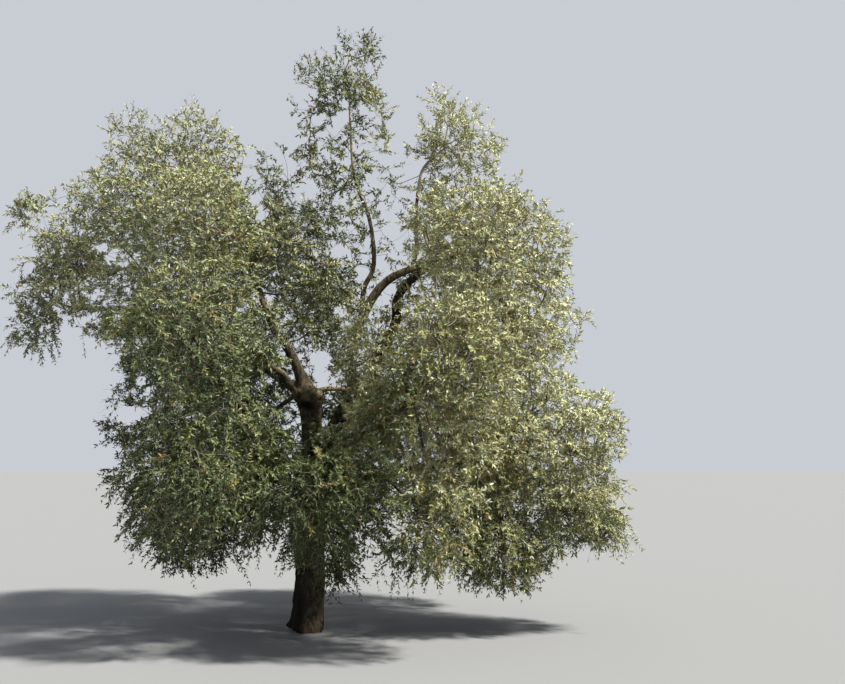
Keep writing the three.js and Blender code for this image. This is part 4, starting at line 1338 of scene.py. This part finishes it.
def wood_core():
    """The trunk, the limbs and the burls, melted into one smooth mesh."""
    lines = [line[line[:, 3] >= LEAST_LIMB] for line in limb_lines.values()]
    lines += [burl_line(middle, thick) for middle, thick in BURLS]
    corners, faces = ring_tube(trunk_line, TRUNK_SIDES, foot_shape)
    for line in lines:
        more_corners, more_faces = ring_tube(line, LIMB_SIDES)
        faces += [tuple(len(corners) + i for i in face) for face in more_faces]
        corners = np.concatenate([corners, more_corners])
    mesh = bpy.data.meshes.new("wood_core")
    mesh.from_pydata(corners.tolist(), [], faces)
    core = bpy.data.objects.new("wood_core", mesh)
    bpy.context.collection.objects.link(core)
    melt = core.modifiers.new("melt", "REMESH")
    melt.mode = "VOXEL"
    melt.voxel_size = VOXEL
    smooth = core.modifiers.new("smooth", "SMOOTH")
    smooth.factor = SMOOTHING
    smooth.iterations = SMOOTHING_ROUNDS
    graph = bpy.context.evaluated_depsgraph_get()
    skin = bpy.data.meshes.new_from_object(core.evaluated_get(graph))
    bpy.data.objects.remove(core)
    return skin


def relief(spots):
    """How far the bark stands out at each place, with the lip round the hollow."""
    tall = spots * [1, 1, RIDGE_STRETCH]
    ridges = 1 - np.abs(lattice_noise(tall * RIDGES, seed=21)) * 2
    ridges += 0.5 * (1 - np.abs(lattice_noise(tall * FINE_RIDGES, seed=22)) * 2)
    lumps = lattice_noise(spots * LUMPS, seed=23) + 0.5 * lattice_noise(spots * FINE_LUMPS, seed=24)
    share = np.clip(RELIEF_AT_FOOT - RELIEF_FADES * spots[:, 2], RELIEF_LEAST, 1)
    off_hollow = np.sqrt(np.sum((spots - HOLLOW_AT) ** 2, axis=1))
    lip = np.exp(-((off_hollow - LIP_AT) / LIP_WIDE) ** 2)
    return share * (RIDGE_HIGH * ridges + LUMP_HIGH * lumps) + LIP_HIGH * lip


def trunk_and_boughs():
    skin = wood_core()
    spots, facing = np.empty((2, len(skin.vertices) * 3))
    skin.vertices.foreach_get("co", spots)
    skin.vertex_normals.foreach_get("vector", facing)
    spots, facing = spots.reshape(-1, 3), facing.reshape(-1, 3)
    hollow = np.exp(-np.sum((spots - HOLLOW_AT) ** 2, axis=1) / HOLLOW_WIDE ** 2)
    spots = spots + facing * relief(spots)[:, None]
    spots[:, 1] += HOLLOW_DEEP * hollow
    spots[spots[:, 2] < FLAT_BELOW, 2] = 0
    skin.vertices.foreach_set("co", spots.ravel())
    skin.materials.clear()
    skin.materials.append(bark_finish())
    skin.polygons.foreach_set("use_smooth", np.ones(len(skin.polygons), bool))
    skin.name = "trunk_and_boughs"
    return bpy.data.objects.new("trunk_and_boughs", skin)


own(trunk_and_boughs(), "bark", *[n for n in frame["nodes"] if not n.startswith(FOLIAGE)])

# Floor, light and view
FLOOR_LEFT, FLOOR_RIGHT, FLOOR_NEAR, FLOOR_FAR = -60, 60, -30, 90
FLOOR_COLOUR, SKY_COLOUR, SUN_COLOUR = (0.180, 0.184, 0.188), (0.88, 0.92, 1.0), (1.0, 0.965, 0.89)
SKY_STRENGTH, SUN_STRENGTH, SUN_WIDE = 0.66, 10.5, math.radians(5)


def studio():
    floor_mesh = bpy.data.meshes.new("floor")
    corners = [(FLOOR_LEFT, FLOOR_NEAR, 0), (FLOOR_RIGHT, FLOOR_NEAR, 0), (FLOOR_RIGHT, FLOOR_FAR, 0),
               (FLOOR_LEFT, FLOOR_FAR, 0)]
    floor_mesh.from_pydata(corners, [], [(0, 1, 2, 3)])
    floor = bpy.data.objects.new("floor", floor_mesh)
    floor_mesh.materials.append(Finish("pale_floor", FLOOR_COLOUR, roughness=0.95, specular=0.1).material)
    bpy.context.collection.objects.link(floor)
    world = bpy.data.worlds.new("studio")
    world.use_nodes = True
    world.node_tree.nodes["Background"].inputs["Color"].default_value = (*SKY_COLOUR, 1)
    world.node_tree.nodes["Background"].inputs["Strength"].default_value = SKY_STRENGTH
    bpy.context.scene.world = world
    lamp = bpy.data.lights.new("key", "SUN")
    lamp.energy = SUN_STRENGTH
    lamp.angle = SUN_WIDE
    lamp.color = SUN_COLOUR
    key = bpy.data.objects.new("key", lamp)
    key.rotation_euler = Vector(SUNLIGHT).to_track_quat("-Z", "Y").to_euler()
    bpy.context.collection.objects.link(key)


studio()
make_camera()
bpy.context.scene.view_settings.view_transform = "Standard"
